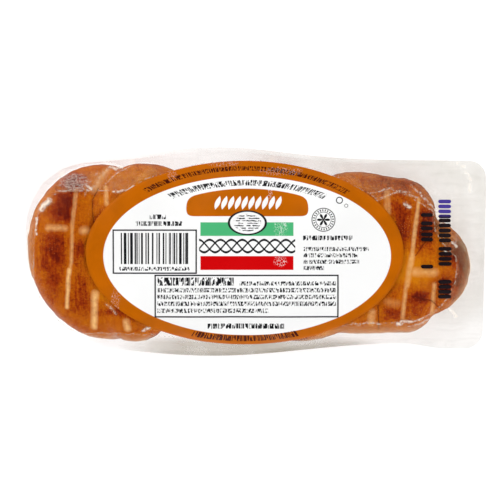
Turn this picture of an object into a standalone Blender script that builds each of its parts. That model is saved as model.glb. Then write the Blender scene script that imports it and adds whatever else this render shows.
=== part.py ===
"""A braid of smoked mozzarella in a clear vacuum pouch with an oval label.

The pouch and the braid that it grips are one closed solid, pack. The label is a thin oval plate on
top of it. The pack lies flat, label up: +X runs along the braid towards the flat end tab, +Z is up,
and the origin is under the middle of the pouch, on the surface that it lies on.
Run with: blender --background --python part.py
"""

import math

import bmesh
import bpy
import numpy as np

MM = 0.001

# The pouch, in millimetres
POUCH_LENGTH = 172.0
POUCH_WIDTH = 77.6
TIP_Y = 2.0
SEAM_HEIGHT = 13.0
FAR_SEAM_LIFT = 11.0
NEAR_SEAM_DROP = 2.5
TAB_DROOP = 3.0
SKIRT_THICKNESS = 0.9
CORNER_RADIUS = 6.5
END_SLANT = 0.013

# The braid
STRAND_HALF_WIDTH = 13.2
STRAND_HALF_HEIGHT = 12.2
BRAID_PERIOD = 120.0
BRAID_SWING = 20.2
BRAID_LIFT = 4.5
BRAID_MID_HEIGHT = 15.6
# Each strand's lobe nearest the fold: its turn in degrees (90 is the far side, -90 and 270 the
# near side), its place along the braid, how much tighter the strand turns before it, how far it
# bulges towards the fold there, and how high it starts
STRAND_LOBES = (
    (-90.0, -56.0, 1.0, 0.0, -2.5),
    (90.0, -43.0, 0.03, 4.5, 2.5),
    (270.0, -17.0, 0.68, 0.0, -2.5),
)
STRAND_STARTS = (-90.0, -90.0, 90.0)
# Each strand's end: its x, y and z, and how much stouter it is than the rest
STRAND_ENDS = ((50.5, -16.2, 16.0, 1.0), (64.5, -8.0, 15.0, 1.18), (54.0, 14.0, 16.5, 1.0))
END_STEER = 24.0
START_LIFT_TURN = 90.0
FOLD_REACH = 15.0
PRESSED_TOP = 31.6
PRESSED_SOFTNESS = 2.5

# How the film lies over it
FILM_CLEARANCE = 0.3
FILM_PULL = 0.045
LABEL_PULL = 0.012
SEALED_MARGIN = 1.2

# The label
LABEL_LENGTH = 117.6
LABEL_WIDTH = 68.2
LABEL_CENTRE = (-4.2, -0.3)
LABEL_THICKNESS = 0.5
LABEL_GAP = 0.5

# Fineness of the meshes
PACK_COLUMNS = 72
PACK_ROWS = 30
DRAPE_FINENESS = 3
DRAPE_SWEEPS = 900
LABEL_RINGS = 14
LABEL_SECTORS = 64

MATERIALS = {
    "pack": ((0.42, 0.12, 0.015), 0.25),
    "label": ((0.9, 0.88, 0.84), 0.4),
}


def smooth_step(low, high, x):
    t = np.clip((x - low) / (high - low), 0.0, 1.0)
    return t * t * (3.0 - 2.0 * t)


def bell(x, centre, width):
    return np.exp(-(((x - centre) / width) ** 2))


# The pouch's outline: a round end at -X, a square tab at +X and long edges that bulge in the middle


def round_end(x, length, squareness):
    """1 along the pouch, falling to 0 at its -X tip like a superellipse."""
    inward = np.clip(1.0 - (x + POUCH_LENGTH / 2) / length, 0.0, 1.0)
    return (1.0 - inward**squareness) ** (1.0 / squareness)


def tab_corner(x):
    """How far a rounded corner of the tab draws the long edge in."""
    over = np.clip(x - (POUCH_LENGTH / 2 - CORNER_RADIUS), 0.0, CORNER_RADIUS)
    return CORNER_RADIUS - np.sqrt(CORNER_RADIUS**2 - over**2)


def far_edge(x):
    wide = POUCH_WIDTH / 2 - 4.8 + 4.8 * bell(x, -14.0, 34.0)
    return TIP_Y + (wide - TIP_Y) * round_end(x, 28.0, 2.5) - tab_corner(x)


def near_edge(x):
    wide = POUCH_WIDTH / 2 - 5.4 + 5.4 * bell(x, -16.0, 46.0) + 2.6 * smooth_step(52.0, 72.0, x)
    return TIP_Y - (wide + TIP_Y) * round_end(x, 34.0, 2.0) + tab_corner(x)


def seam_height(x, y):
    """The height at which the pouch's two films meet, over its whole plan."""
    on_tab = smooth_step(55.0, POUCH_LENGTH / 2, x)
    far = FAR_SEAM_LIFT * smooth_step(-4.0, 30.0, y) * (1.0 - 0.55 * on_tab)
    near = NEAR_SEAM_DROP * smooth_step(4.0, 30.0, -y)
    wave = 0.5 * np.sin(x / 11.0 + 0.6) * (y / POUCH_WIDTH * 2.0) ** 2
    curl = 1.2 * on_tab * np.sin(y / 12.0 + 0.8)
    return SEAM_HEIGHT + far - near - TAB_DROOP * on_tab**2 + wave + curl


# The braid: three strands, two of which are one rope folded at the -X end


def strand_run(number):
    """One strand from its start at the fold to its end at +X, as rows of x, y, z and stoutness."""
    lobe_turn, lobe_x, tightness, bulge, lift = STRAND_LOBES[number]
    end_x, end_y, end_z, stoutness = STRAND_ENDS[number]
    start = STRAND_STARTS[number]
    turn = np.linspace(start, lobe_turn + (end_x - lobe_x) * 360.0 / BRAID_PERIOD, 120)
    before = turn < lobe_turn
    x = lobe_x + (turn - lobe_turn) * BRAID_PERIOD / 360.0 * np.where(before, tightness, 1.0)
    x -= bulge * np.where(before, np.cos(np.radians(turn)), 0.0)
    y = BRAID_SWING * np.sin(np.radians(turn))
    z = BRAID_MID_HEIGHT + BRAID_LIFT * np.sin(np.radians(2.0 * turn))
    z += lift * (1.0 - smooth_step(start, start + START_LIFT_TURN, turn))
    steer = smooth_step(end_x - END_STEER, end_x, x)
    y += (end_y - y[-1]) * steer
    z += (end_z - z[-1]) * steer
    return np.stack([x, y, z, 1.0 + (stoutness - 1.0) * steer], axis=1)


def evened(line, rounds):
    """The line with its corners rounded off, its ends kept."""
    for _ in range(rounds):
        line[1:-1] = (line[:-2] + 2.0 * line[1:-1] + line[2:]) / 4.0
    return line


def fold(start, end):
    """The bend that joins two strands at the braid's -X end."""
    angle = np.linspace(0.0, math.pi, 40)[1:-1, None]
    middle, half = (start + end) / 2.0, (start - end) / 2.0
    bend = middle + half * np.cos(angle)
    bend[:, 0:1] -= FOLD_REACH * np.sin(angle)
    bend[:, 2:3] += 3.0 * np.sin(angle)
    return bend


def braid_lines():
    first, second, third = (strand_run(number) for number in range(3))
    rope = np.concatenate([third[::-1], fold(third[0], first[0]), first])
    return [evened(rope, 30), evened(second, 10)]


def braid_heights(x, y):
    """The braid's upper and lower surface over the plan, infinite where there is none."""
    upper = np.full(x.shape, -np.inf)
    lower = np.full(x.shape, np.inf)
    for line in braid_lines():
        for cx, cy, cz, stoutness in line:
            away = ((x - cx) ** 2 + (y - cy) ** 2) / (STRAND_HALF_WIDTH * stoutness) ** 2
            rise = STRAND_HALF_HEIGHT * np.sqrt(np.clip(1.0 - away, 0.0, None))
            upper = np.where(away < 1.0, np.maximum(upper, cz + rise), upper)
            lower = np.where(away < 1.0, np.minimum(lower, cz - rise), lower)
    # The vacuum and the table press both faces flat.
    over = (upper - PRESSED_TOP) / PRESSED_SOFTNESS
    upper = upper - PRESSED_SOFTNESS * np.logaddexp(0.0, over)
    return upper, np.maximum(lower, 0.0)


# The film: two sheets pulled tight over the braid and down to the seam


def plan_grid(columns, rows):
    """Points that fill the outline, as x and y by column and row, crowding towards both ends."""
    along = np.linspace(0.0, 1.0, columns + 1)
    along = 0.6 * along + 0.2 * (1.0 - np.cos(math.pi * along))
    column_x = POUCH_LENGTH * (along - 0.5)
    column_x[0] += 0.02
    low, high = near_edge(column_x)[:, None], far_edge(column_x)[:, None]
    y = low + (high - low) * np.linspace(0.0, 1.0, rows + 1)
    return column_x[:, None] + 0.0 * y, y


def drape(x, y, obstacle, edge, pull):
    """A sheet held at the outline and pulled taut over the obstacle."""
    sheet = np.maximum(obstacle, edge)
    near_x = np.hypot(np.diff(x, axis=0), np.diff(y, axis=0))
    before, after = near_x[:-1, 1:-1], near_x[1:, 1:-1]
    across = np.maximum(np.diff(y, axis=1), 1e-6)
    below, above = across[1:-1, :-1], across[1:-1, 1:]
    weights = (
        2.0 / (before * (before + after)),
        2.0 / (after * (before + after)),
        2.0 / (below * (below + above)),
        2.0 / (above * (below + above)),
    )
    inner = np.s_[1:-1, 1:-1]
    sealed = np.minimum(y - y[:, :1], y[:, -1:] - y) < SEALED_MARGIN
    sealed |= x > POUCH_LENGTH / 2 - SEALED_MARGIN
    ix, iy = np.indices(sheet.shape)
    for sweep in range(DRAPE_SWEEPS):
        around = (
            weights[0] * sheet[:-2, 1:-1] + weights[1] * sheet[2:, 1:-1]
            + weights[2] * sheet[1:-1, :-2] + weights[3] * sheet[1:-1, 2:]
        )
        target = (around - pull[inner]) / sum(weights)
        moved = np.maximum(sheet[inner] + 1.6 * (target - sheet[inner]), obstacle[inner])
        turn = ((ix + iy) % 2 == sweep % 2)[inner] & ~sealed[inner]
        sheet[inner] = np.where(turn, moved, sheet[inner])
    return sheet


def film_sheets():
    """The upper and the lower film on the pack's own grid: x, y, upper height, lower height."""
    x, y = plan_grid(PACK_COLUMNS * DRAPE_FINENESS, PACK_ROWS * DRAPE_FINENESS)
    seam = seam_height(x, y)
    upper, lower = braid_heights(x, y)
    half = SKIRT_THICKNESS / 2
    under_label = 1.0 - smooth_step(0.8, 1.05, label_reach(x, y))
    pull = FILM_PULL + (LABEL_PULL - FILM_PULL) * under_label
    top = drape(x, y, np.maximum(upper + FILM_CLEARANCE, seam + half), seam + half, pull)
    # The lower film is the same sheet seen from below.
    under = drape(x, y, np.maximum(-lower, half - seam), half - seam, FILM_PULL + 0.0 * pull)
    coarse = np.s_[::DRAPE_FINENESS, ::DRAPE_FINENESS]
    return x[coarse], y[coarse], top[coarse], np.maximum(-under, 0.0)[coarse]


def label_reach(x, y):
    """0 at the label's middle, 1 at its edge."""
    across = (x - LABEL_CENTRE[0]) * 2.0 / LABEL_LENGTH
    up = (y - LABEL_CENTRE[1]) * 2.0 / LABEL_WIDTH
    return np.hypot(across, up)


def height_at(sheets, x, y):
    """The upper film's height at points of the plan."""
    grid_x, _, top, _ = sheets
    column = np.interp(x, grid_x[:, 0], np.arange(PACK_COLUMNS + 1.0))
    column = np.clip(column, 0.0, PACK_COLUMNS - 1e-6)
    row = (y - near_edge(x)) / (far_edge(x) - near_edge(x)) * PACK_ROWS
    row = np.clip(row, 0.0, PACK_ROWS - 1e-6)
    i, j = column.astype(int), row.astype(int)
    u, v = column - i, row - j
    low = top[i, j] * (1.0 - v) + top[i, j + 1] * v
    high = top[i + 1, j] * (1.0 - v) + top[i + 1, j + 1] * v
    return low * (1.0 - u) + high * u


def laid_at(sheets, x, y, lift):
    """Points of the plan set this far off the upper film, measured square to it."""
    step = 0.5
    rise_x = (height_at(sheets, x + step, y) - height_at(sheets, x - step, y)) / (2.0 * step)
    rise_y = (height_at(sheets, x, y + step) - height_at(sheets, x, y - step)) / (2.0 * step)
    steepness = np.sqrt(1.0 + rise_x**2 + rise_y**2)
    return np.stack([x, y, height_at(sheets, x, y) + lift * steepness], axis=-1)


# The meshes


def new_object(name, bm):
    """Adds an object of this mesh, rounded where it bends gently, with its own material."""
    bmesh.ops.recalc_face_normals(bm, faces=bm.faces)
    mesh = bpy.data.meshes.new(name)
    bm.to_mesh(mesh)
    bm.free()
    obj = bpy.data.objects.new(name, mesh)
    bpy.context.scene.collection.objects.link(obj)
    colour, roughness = MATERIALS[name]
    material = bpy.data.materials.new(name)
    material.use_nodes = True
    shader = material.node_tree.nodes["Principled BSDF"]
    shader.inputs["Base Color"].default_value = (*colour, 1.0)
    shader.inputs["Roughness"].default_value = roughness
    shader.inputs["Metallic"].default_value = 0.0
    mesh.materials.append(material)
    mesh.shade_smooth()
    mesh.set_sharp_from_angle(angle=math.radians(50.0))
    return obj


def make_pack(sheets):
    """The pouch with the braid in it: an upper and a lower sheet, closed by the skirt's thin edge."""
    x, y, top, under = sheets
    slanted = x - END_SLANT * (POUCH_WIDTH / 2 - y) * smooth_step(60.0, POUCH_LENGTH / 2, x)
    bm = bmesh.new()
    layers = [
        [[bm.verts.new(point * MM) for point in column] for column in np.stack([slanted, y, z], axis=2)]
        for z in (top, under)
    ]
    upper, lower = layers
    for i in range(PACK_COLUMNS):
        for j in range(PACK_ROWS):
            for rows in layers:
                bm.faces.new((rows[i][j], rows[i + 1][j], rows[i + 1][j + 1], rows[i][j + 1]))
        for j in (0, PACK_ROWS):
            bm.faces.new((upper[i][j], upper[i + 1][j], lower[i + 1][j], lower[i][j]))
    for j in range(PACK_ROWS):
        for i in (0, PACK_COLUMNS):
            bm.faces.new((upper[i][j], upper[i][j + 1], lower[i][j + 1], lower[i][j]))
    return new_object("pack", bm)


def make_label(sheets):
    """The oval label: rings of points laid on the upper film, thickened upwards."""
    bm = bmesh.new()
    angle = np.arange(LABEL_SECTORS) * 2.0 * math.pi / LABEL_SECTORS
    layers = []
    for lift in (LABEL_GAP, LABEL_GAP + LABEL_THICKNESS):
        rings = []
        for ring in range(1, LABEL_RINGS + 1):
            share = ring / LABEL_RINGS
            x = LABEL_CENTRE[0] + share * LABEL_LENGTH / 2 * np.cos(angle)
            y = LABEL_CENTRE[1] + share * LABEL_WIDTH / 2 * np.sin(angle)
            rings.append([bm.verts.new(point * MM) for point in laid_at(sheets, x, y, lift)])
        x, y = (np.array([value]) for value in LABEL_CENTRE)
        layers.append((bm.verts.new(laid_at(sheets, x, y, lift)[0] * MM), rings))
    for middle, rings in layers:
        for k in range(LABEL_SECTORS):
            after = (k + 1) % LABEL_SECTORS
            bm.faces.new((middle, rings[0][k], rings[0][after]))
            for inner, outer in zip(rings, rings[1:]):
                bm.faces.new((inner[k], outer[k], outer[after], inner[after]))
    low_rim, high_rim = layers[0][1][-1], layers[1][1][-1]
    for k in range(LABEL_SECTORS):
        after = (k + 1) % LABEL_SECTORS
        bm.faces.new((low_rim[k], low_rim[after], high_rim[after], high_rim[k]))
    return new_object("label", bm)


def main():
    for obj in list(bpy.data.objects):
        bpy.data.objects.remove(obj)
    sheets = film_sheets()
    make_pack(sheets)
    make_label(sheets)


main()
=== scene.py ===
"""The looks of a braid of smoked mozzarella in a clear vacuum pouch with an oval label.

The braid, the film over it, the label and the ink marks at the tab are pieces of their own. They
repeat the named sizes and curves of the part's solids, in millimetres, on finer meshes, with the
strands' ends set a little closer to the real braid's. +X runs along the braid towards the flat end
tab, +Y is the far side and +Z is up, out of the label.
"""

import functools
import math

import bmesh
import bpy
import numpy as np
from bpy.props import FloatProperty, FloatVectorProperty, PointerProperty
from bpy.types import Operator, Panel, PropertyGroup
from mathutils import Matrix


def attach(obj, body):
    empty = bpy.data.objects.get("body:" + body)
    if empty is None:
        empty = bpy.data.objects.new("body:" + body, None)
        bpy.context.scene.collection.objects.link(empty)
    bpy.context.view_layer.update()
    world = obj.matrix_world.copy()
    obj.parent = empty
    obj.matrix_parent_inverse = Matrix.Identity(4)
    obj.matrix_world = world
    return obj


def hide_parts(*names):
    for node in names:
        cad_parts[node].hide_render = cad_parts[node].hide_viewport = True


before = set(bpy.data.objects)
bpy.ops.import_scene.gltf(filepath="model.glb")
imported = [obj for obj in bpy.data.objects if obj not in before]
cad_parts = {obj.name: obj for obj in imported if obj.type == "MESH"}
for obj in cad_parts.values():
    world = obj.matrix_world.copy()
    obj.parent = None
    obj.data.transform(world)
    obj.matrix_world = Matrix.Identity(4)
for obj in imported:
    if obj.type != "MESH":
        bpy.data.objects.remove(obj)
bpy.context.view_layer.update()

bl_info = {
    "name": "Smoked Braid in a Pouch",
    "version": (1, 0, 0),
    "blender": (4, 5, 0),
    "location": "3D View > Sidebar > Cheese",
    "description": "Builds a smoked cheese braid in a clear vacuum pouch with an oval label",
    "category": "Add Mesh",
}

MM = 0.001

# The pouch, and how far towards the far side the tip of its round -X end is
POUCH_LENGTH = 172.0
POUCH_WIDTH = 77.6
TIP_Y = 2.0
CORNER_RADIUS = 6.5
FILM_THICKNESS = 0.25
# Each long edge: how far its middle bulges out, where along the pouch and over what reach, and
# the length and squareness of the round -X end
FAR_EDGE = (4.8, -14.0, 34.0, 28.0, 2.5)
NEAR_EDGE = (5.4, -16.0, 46.0, 34.0, 2.0)
# How far the near edge flares out towards the tab, and from where to where
NEAR_FLARE = (2.6, 52.0, 72.0)
# The tab's end is cut askew: how far it leans for each mm across, and where that starts
END_SLANT = 0.013
SLANT_START = 60.0
# The seam where the two films meet: its height under the middle, how much higher and lower its
# sides are, and between which distances from the middle it rises or drops
SEAM_HEIGHT = 13.0
FAR_SEAM_LIFT = 11.0
FAR_LIFT_RUN = (-4.0, 30.0)
NEAR_SEAM_DROP = 2.5
NEAR_DROP_RUN = (4.0, 30.0)
# The tab: where it starts, how far its end hangs, and how much of the far side's lift it loses
TAB_START = 55.0
TAB_DROOP = 3.0
TAB_LEVELLING = 0.55
# Slow waves of the skirt, along the pouch, and of the tab, across it: height, mm to a radian and
# phase
SKIRT_WAVE = (0.5, 11.0, 0.6)
TAB_WAVE = (1.2, 12.0, 0.8)

# The braid
STRAND_HALF_WIDTH = 13.2
STRAND_HALF_HEIGHT = 12.2
BRAID_PERIOD = 120.0
BRAID_SWING = 20.2
BRAID_LIFT = 4.5
BRAID_MID_HEIGHT = 15.6
# Each strand's lobe nearest the fold: its turn in degrees (90 is the far side, -90 and 270 the
# near side), its place along the braid, how much tighter the strand turns before it, how far it
# bulges towards the fold there, and how high it starts
STRAND_LOBES = (
    (-90.0, -56.0, 1.0, 0.0, -2.5),
    (90.0, -43.0, 0.03, 4.5, 2.5),
    (270.0, -17.0, 0.68, 0.0, -2.5),
)
# The turn at which each strand starts, and over how many degrees it comes to its usual height
STRAND_STARTS = (-90.0, -90.0, 90.0)
START_LIFT_TURN = 90.0
# Each strand's end: its x, y and z, how much stouter it is than the rest, and how far before the
# end it starts to turn that way and has done so
STRAND_ENDS = (
    (54.8, -17.5, 16.0, 0.95, 40.6, 22.0),
    (61.5, -5.4, 15.0, 1.4, 24.6, 1.1),
    (53.0, 13.6, 16.5, 1.07, 27.6, 0.3),
)
# Over how long a run a strand comes to the stoutness of its end
END_SWELL = 24.0
# The bend that joins two strands: how far it reaches out, how far it rises and how much slimmer
# its near half is
FOLD_REACH = 16.0
FOLD_RISE = 3.0
FOLD_SLIMMING = 0.1
# How often the lines of the folded rope and of the single strand are smoothed
ROPE_SMOOTHING = 30
STRAND_SMOOTHING = 10
# Where the vacuum flattens the tops, where the table flattens the undersides, and how softly
PRESSED_TOP = 31.6
PRESSED_SOFTNESS = 2.5
TABLE_GAP = 0.3
TABLE_SOFTNESS = 0.5
# How far the skin is moved out, to make up for what smoothing takes off it
SKIN_GAIN = 0.4
# How much of the room under the film the clefts between lobes fill where it grips them, and the
# most that they rise
PRESSED_TOGETHER = 0.85
MOST_PRESSED = 5.0
# A dip between two lobes past the line where the film lets go, filled as well: x, y, reach
PRESSED_DIP = (-50.5, 27.5, 7.5)
# A hollow is where the skin lies below itself as smoothed this often; the skin is painted darker
# there as shade. At this depth, in mm, it counts in full.
HOLLOW_SMOOTHING = 24
FULL_HOLLOW = 0.8

# How the film lies over it: how far above the braid and how far out from its sides it keeps, how
# hard the air pulls it in, beside the label and under it, and how wide its sealed edge is
FILM_CLEARANCE = 0.15
FILM_STAND_OFF = 0.15
FILM_PULL = 0.045
LABEL_PULL = 0.012
SEALED_MARGIN = 1.2
# The widest gap between film and cheese that the film's finish tells apart
WIDEST_GAP = 12.0

# The label's place
LABEL_LENGTH = 117.6
LABEL_WIDTH = 68.2
LABEL_CENTRE = (-4.2, -0.3)
# How close to its middle the label holds the film, and where it lets go: 1 is the label's edge
LABEL_HOLD = (0.8, 1.05)

# Fineness of the meshes
FILM_COLUMNS = 330
FILM_ROWS = 144
BRAID_VOXEL = 0.8
LABEL_RINGS = 44
LABEL_SECTORS = 240
STRAND_POINTS = 120
FOLD_POINTS = 40
# How much the film's columns crowd towards its ends, and how far in the first one stands
END_CROWDING = 0.4
TIP_SETBACK = 0.02
# Half the run over which a sheet's slope is measured
SLOPE_STEP = 0.5
# Points across the floor each way, and along and across one bar of ink
FLOOR_POINTS = 41
BAR_POINTS = (17, 5)
# How the drape is worked out: the number of sweeps, and how far past its target a point is moved
DRAPE_SWEEPS = 1500
DRAPE_OVERSHOOT = 1.8
TINY = 1e-6
# Uneven fields: how many waves each one adds up, and what their sum is divided by
RIPPLE_WAVES = 18
RIPPLE_HEIGHT = 4.5

# Pale marks that the smoking rack left on the skin: half width, strength, how much browner the
# middle of the line is, and points of the plan
RACK_MARKS = (
    (0.65, 0.55, 0.6, ((-66.5, 23.1), (-68.0, 8.9))),
    (0.55, 0.5, 0.0, ((-68.0, 8.9), (-68.2, -3.7), (-69.1, -8.0))),
    (0.65, 1.0, 0.0, ((-69.0, -6.5), (-70.0, -20.4))),
    (1.0, 0.55, 0.0, ((-77.0, 9.0), (-70.5, 8.8))),
    (1.4, 0.6, 0.0, ((-63.6, 8.0), (-63.2, 8.0))),
    (0.7, 0.6, 0.3, ((-55.6, 23.8), (-55.2, 17.6))),
    (1.05, 0.95, 0.0, ((-59.5, -15.4), (-60.0, -27.6))),
    (1.05, 0.75, 0.0, ((-47.9, -25.8), (-47.5, -28.2))),
    (1.2, 0.35, 0.0, ((-59.8, 22.8), (-57.8, 27.0), (-55.2, 30.3))),
    (0.9, 0.5, 0.6, ((48.4, 22.0), (48.7, 14.4))),
    (0.6, 0.85, 0.4, ((60.3, 19.3), (59.1, 10.0), (57.7, -1.1))),
    (0.85, 0.65, 0.3, ((57.8, -1.0), (56.7, -7.0), (55.8, -12.4))),
    (0.65, 0.55, 0.0, ((55.8, -11.0), (54.9, -17.5), (54.3, -24.4))),
    (1.3, 0.5, 0.0, ((58.6, -7.4), (66.0, -7.6))),
    (0.7, 0.55, 0.0, ((66.0, -12.0), (65.4, -23.0))),
    (1.3, 0.2, 0.0, ((49.0, -18.6), (52.0, -19.0))),
    (1.1, 0.6, 0.0, ((43.0, -22.3), (42.6, -26.2))),
)
# Wires that crossed the underside: where along the braid, how far apart, how much each leans, and
# how strong and how wide a mark it left
UNDER_WIRES = (-70.0, -44.0, -18.0, 8.0, 34.0, 58.0)
WIRE_PITCH = 26.0
WIRE_SLANT = 0.06
WIRE_STRENGTH = 0.7
WIRE_HALF_WIDTH = 0.9
# How far its groove wanders from a straight line, and mm to a radian of that wave
WIRE_WAVE = (0.6, 9.0)
# The uneven skin: each size of bump's share of the relief, its size in mm and its seed
SKIN_BUMPS = ((0.6, 9.0, 11), (0.4, 3.6, 12))
# Where the smoke coloured the skin more, or less: middle, half size and strength. The patches at
# (77.5, -3.0) and (73.5, -14.5) paint the shade on the far side of the bulb at the +X end.
SMOKE_AND_SHADE_PATCHES = (
    (-70.8, 16.6, 3.7, 6.2, 1.1),
    (-75.8, 14.6, 2.4, 5.0, 0.3),
    (-74.0, 2.4, 3.7, 4.9, 0.85),
    (-74.6, -5.5, 4.0, 5.5, 0.6),
    (-74.8, -14.0, 3.6, 6.0, 0.45),
    (-78.8, -1.0, 1.8, 6.5, 0.35),
    (-65.3, 1.1, 2.1, 4.0, 0.45),
    (-64.6, -15.6, 3.8, 6.0, 0.5),
    (-64.5, -23.0, 5.0, 3.5, 0.15),
    (-54.9, -22.4, 2.4, 1.4, 0.5),
    (-67.6, 26.2, 5.4, 3.4, 0.9),
    (-59.0, 13.0, 4.5, 9.0, -0.15),
    (53.2, 11.2, 3.9, 9.5, 0.72),
    (62.5, 10.0, 3.6, 8.5, 0.75),
    (51.5, 26.0, 13.0, 4.6, 0.6),
    (46.5, 14.5, 2.2, 4.5, -0.3),
    (57.0, -6.6, 6.5, 4.6, -0.95),
    (66.5, -8.5, 2.4, 2.4, -0.2),
    (69.2, -12.5, 2.4, 5.0, 0.5),
    (73.0, 0.5, 4.0, 4.0, 0.6),
    (77.5, -3.0, 3.8, 10.0, 1.0),
    (73.5, -14.5, 4.5, 5.0, 0.55),
    (61.0, -16.8, 4.0, 2.3, 0.95),
    (58.0, -21.5, 7.0, 3.0, 0.4),
    (50.2, -23.0, 3.2, 2.4, 0.7),
    (46.5, -14.0, 3.0, 3.0, 0.1),
)
# Elsewhere it is simply uneven: by how much, and the size of its blotches
PLAIN_SMOKE = 0.55
SMOKE_BLOTCH = 15.0
# The level of smoke, with the painted shade of hollows added, at which each deeper colour of skin
# sets in, and how softly
SKIN_STEPS = ((-0.3, 0.6), (0.35, 0.45), (0.82, 0.4))
# Thin seams where two lobes are pressed together, grooved into the skin and painted dark as shade
SEAM_HALF_WIDTH = 0.9
SEAM_LINES = (
    ((-58.6, 23.4), (-59.2, 21.9), (-60.3, 19.7), (-60.6, 16.7), (-60.3, 13.4), (-59.9, 11.2),
     (-60.5, 5.0)),
    ((57.7, -16.4), (62.0, -17.4), (65.0, -18.0), (68.5, -20.8)),
    ((67.7, 10.0), (64.0, 5.5), (59.1, -1.1)),
    ((45.2, -19.7), (45.5, -28.3)),
)
# Folds in the film: height in mm, whiteness, half width, and the points that they run between. The
# whiteness is partly milky creases and partly painted glints; those of 0.8 and more are painted glints.
FILM_FOLDS = (
    (0.4, 0.5, 0.22, ((57.3, 24.9), (62.0, 20.5), (67.0, 14.9))),
    (0.3, 0.5, 0.15, ((-55.3, -19.3), (-51.5, -23.0))),
    (0.3, 0.5, 0.3, ((-73.5, 22.4), (-66.0, 23.4), (-61.0, 22.8))),
    (0.4, 0.24, 0.9, ((-60.3, 23.1), (-58.5, 26.5), (-55.0, 30.5))),
    (0.3, 0.8, 0.35, ((-54.0, 31.5), (-51.8, 30.7), (-49.5, 31.4))),
    (0.3, 0.8, 0.25, ((-52.6, 22.4), (-50.0, 22.3), (-47.6, 22.8), (-45.2, 24.4))),
    (0.2, 0.35, 0.2, ((-63.5, 21.0), (-61.5, 25.5), (-58.8, 29.5))),
    (0.2, 0.4, 0.25, ((-55.8, 24.8), (-52.0, 29.0), (-46.0, 31.8))),
    (0.5, 0.9, 0.5, ((66.6, 15.6), (67.9, 12.4), (69.0, 10.2))),
    (0.3, 0.45, 0.25, ((44.6, 19.2), (52.0, 22.4), (60.0, 20.0))),
    (0.3, 0.4, 0.2, ((42.0, 21.5), (50.0, 23.4), (57.0, 22.0))),
    (0.3, 0.8, 0.4, ((72.0, -20.6), (73.2, -22.6), (74.6, -24.2))),
    (0.3, 0.5, 0.2, ((35.7, -26.8), (41.0, -26.5), (46.5, -26.4))),
    (0.3, 0.9, 0.25, ((54.0, -25.6), (58.0, -25.6), (61.9, -24.8))),
    (0.2, 0.5, 0.2, ((56.0, -27.8), (60.0, -27.0), (64.0, -25.0))),
    (0.3, 0.9, 0.4, ((-41.8, -29.2), (-39.8, -28.2))),
    (0.4, 0.95, 0.7, ((-79.9, 15.6), (-78.4, 17.4), (-76.3, 19.1))),
    (0.3, 0.8, 0.3, ((-81.4, 12.5), (-81.3, 6.5))),
    (0.3, 0.9, 0.4, ((72.8, 3.6), (74.2, 2.0))),
    (0.3, 0.9, 0.4, ((69.8, 0.8), (70.7, -0.4))),
    (0.3, 0.9, 0.4, ((52.4, -26.8), (54.0, -26.0))),
    (0.3, 0.9, 0.4, ((55.2, 17.8), (56.6, 16.8))),
    (0.3, 0.9, 0.4, ((-62.6, 24.5), (-60.8, 23.4))),
    (0.2, 0.3, 0.2, ((44.0, 30.5), (60.0, 31.8), (78.0, 31.0))),
    (0.2, 0.3, 0.2, ((74.0, 27.0), (75.0, 14.0), (74.2, 3.0))),
    (0.2, 0.5, 0.5, ((74.5, 33.4), (77.6, 31.6))),
    (0.2, 0.5, 0.6, ((78.0, 30.0), (80.0, 26.4), (79.6, 22.6))),
    (0.2, 0.4, 0.3, ((64.0, 34.6), (69.0, 34.2), (73.0, 32.8))),
    (0.2, 0.35, 0.2, ((58.0, 27.0), (66.0, 22.5), (70.5, 19.0))),
)
# Where it is crushed into tiny facets: middle and half size
CRUMPLED_PATCH = (-67.3, 26.0, 5.8, 3.0)
# Two grains of its facets: how often they turn along x and y
CRUSH_GRAINS = ((0.4, 1.5), (1.3, 0.8))
# Where the near side's skirt is milkier: beyond this y, between these x
HAZY_SIDE_Y = -32.5
HAZY_SIDE_X = (-40.0, 40.0)
# Where the film lets go of the cheese, as an outline round the plan
CONTACT_LINE = (
    (-82.1, 5.2), (-81.7, 10.0), (-80.2, 15.6), (-78.1, 18.2), (-75.1, 20.8), (-72.2, 22.5),
    (-61.8, 22.7), (-50.6, 22.7), (-46.5, 23.4), (-43.2, 25.7), (-39.4, 27.5), (-20.8, 32.7),
    (0.0, 33.9), (23.8, 30.5), (33.1, 26.4), (38.7, 23.1), (42.4, 21.2), (44.3, 19.7),
    (48.0, 20.8), (51.7, 21.9), (54.7, 22.3), (57.3, 20.5), (60.3, 18.2), (63.2, 16.7),
    (65.8, 14.9), (66.5, 8.0), (69.6, 2.6), (72.2, 0.0), (74.0, -1.5), (74.4, -6.7),
    (74.0, -10.4), (71.8, -16.4), (67.0, -21.6), (61.0, -24.9), (54.7, -25.7), (48.0, -26.4),
    (33.1, -26.8), (16.4, -32.0), (-2.2, -33.5), (-20.8, -33.1), (-39.4, -30.5), (-59.1, -30.1),
    (-65.5, -30.4), (-70.0, -28.6), (-76.3, -23.9), (-80.5, -17.9), (-82.6, -9.6), (-82.2, -1.1),
)

# Ink bars at the tab: the middle of each stack, the length of its bars and how many there are
CODE_STACKS = (
    (63.3, 13.7, 4.6, 1),
    (63.3, 9.7, 4.6, 2),
    (63.3, 5.6, 4.6, 2),
    (63.3, -5.4, 4.6, 1),
    (70.2, 16.0, 5.0, 4),
    (70.2, 8.0, 4.8, 5),
    (70.2, -1.6, 5.2, 4),
    (70.2, -13.8, 5.2, 4),
)
CODE_BAR = 1.4
CODE_PITCH = 1.85
# How far the label and the ink lie off the film, and how much more the label's edge lifts
LABEL_GAP = 0.12
INK_GAP = 0.05
EDGE_LIFT = 0.1


def seen(red, green, blue):
    """A colour as a screen shows it, 0 to 255, turned into the linear light that shaders take."""
    return tuple(
        share / 12.92 if share <= 0.04045 else ((share + 0.055) / 1.055) ** 2.4
        for share in (red / 255.0, green / 255.0, blue / 255.0)
    )


# What a user would change


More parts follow.
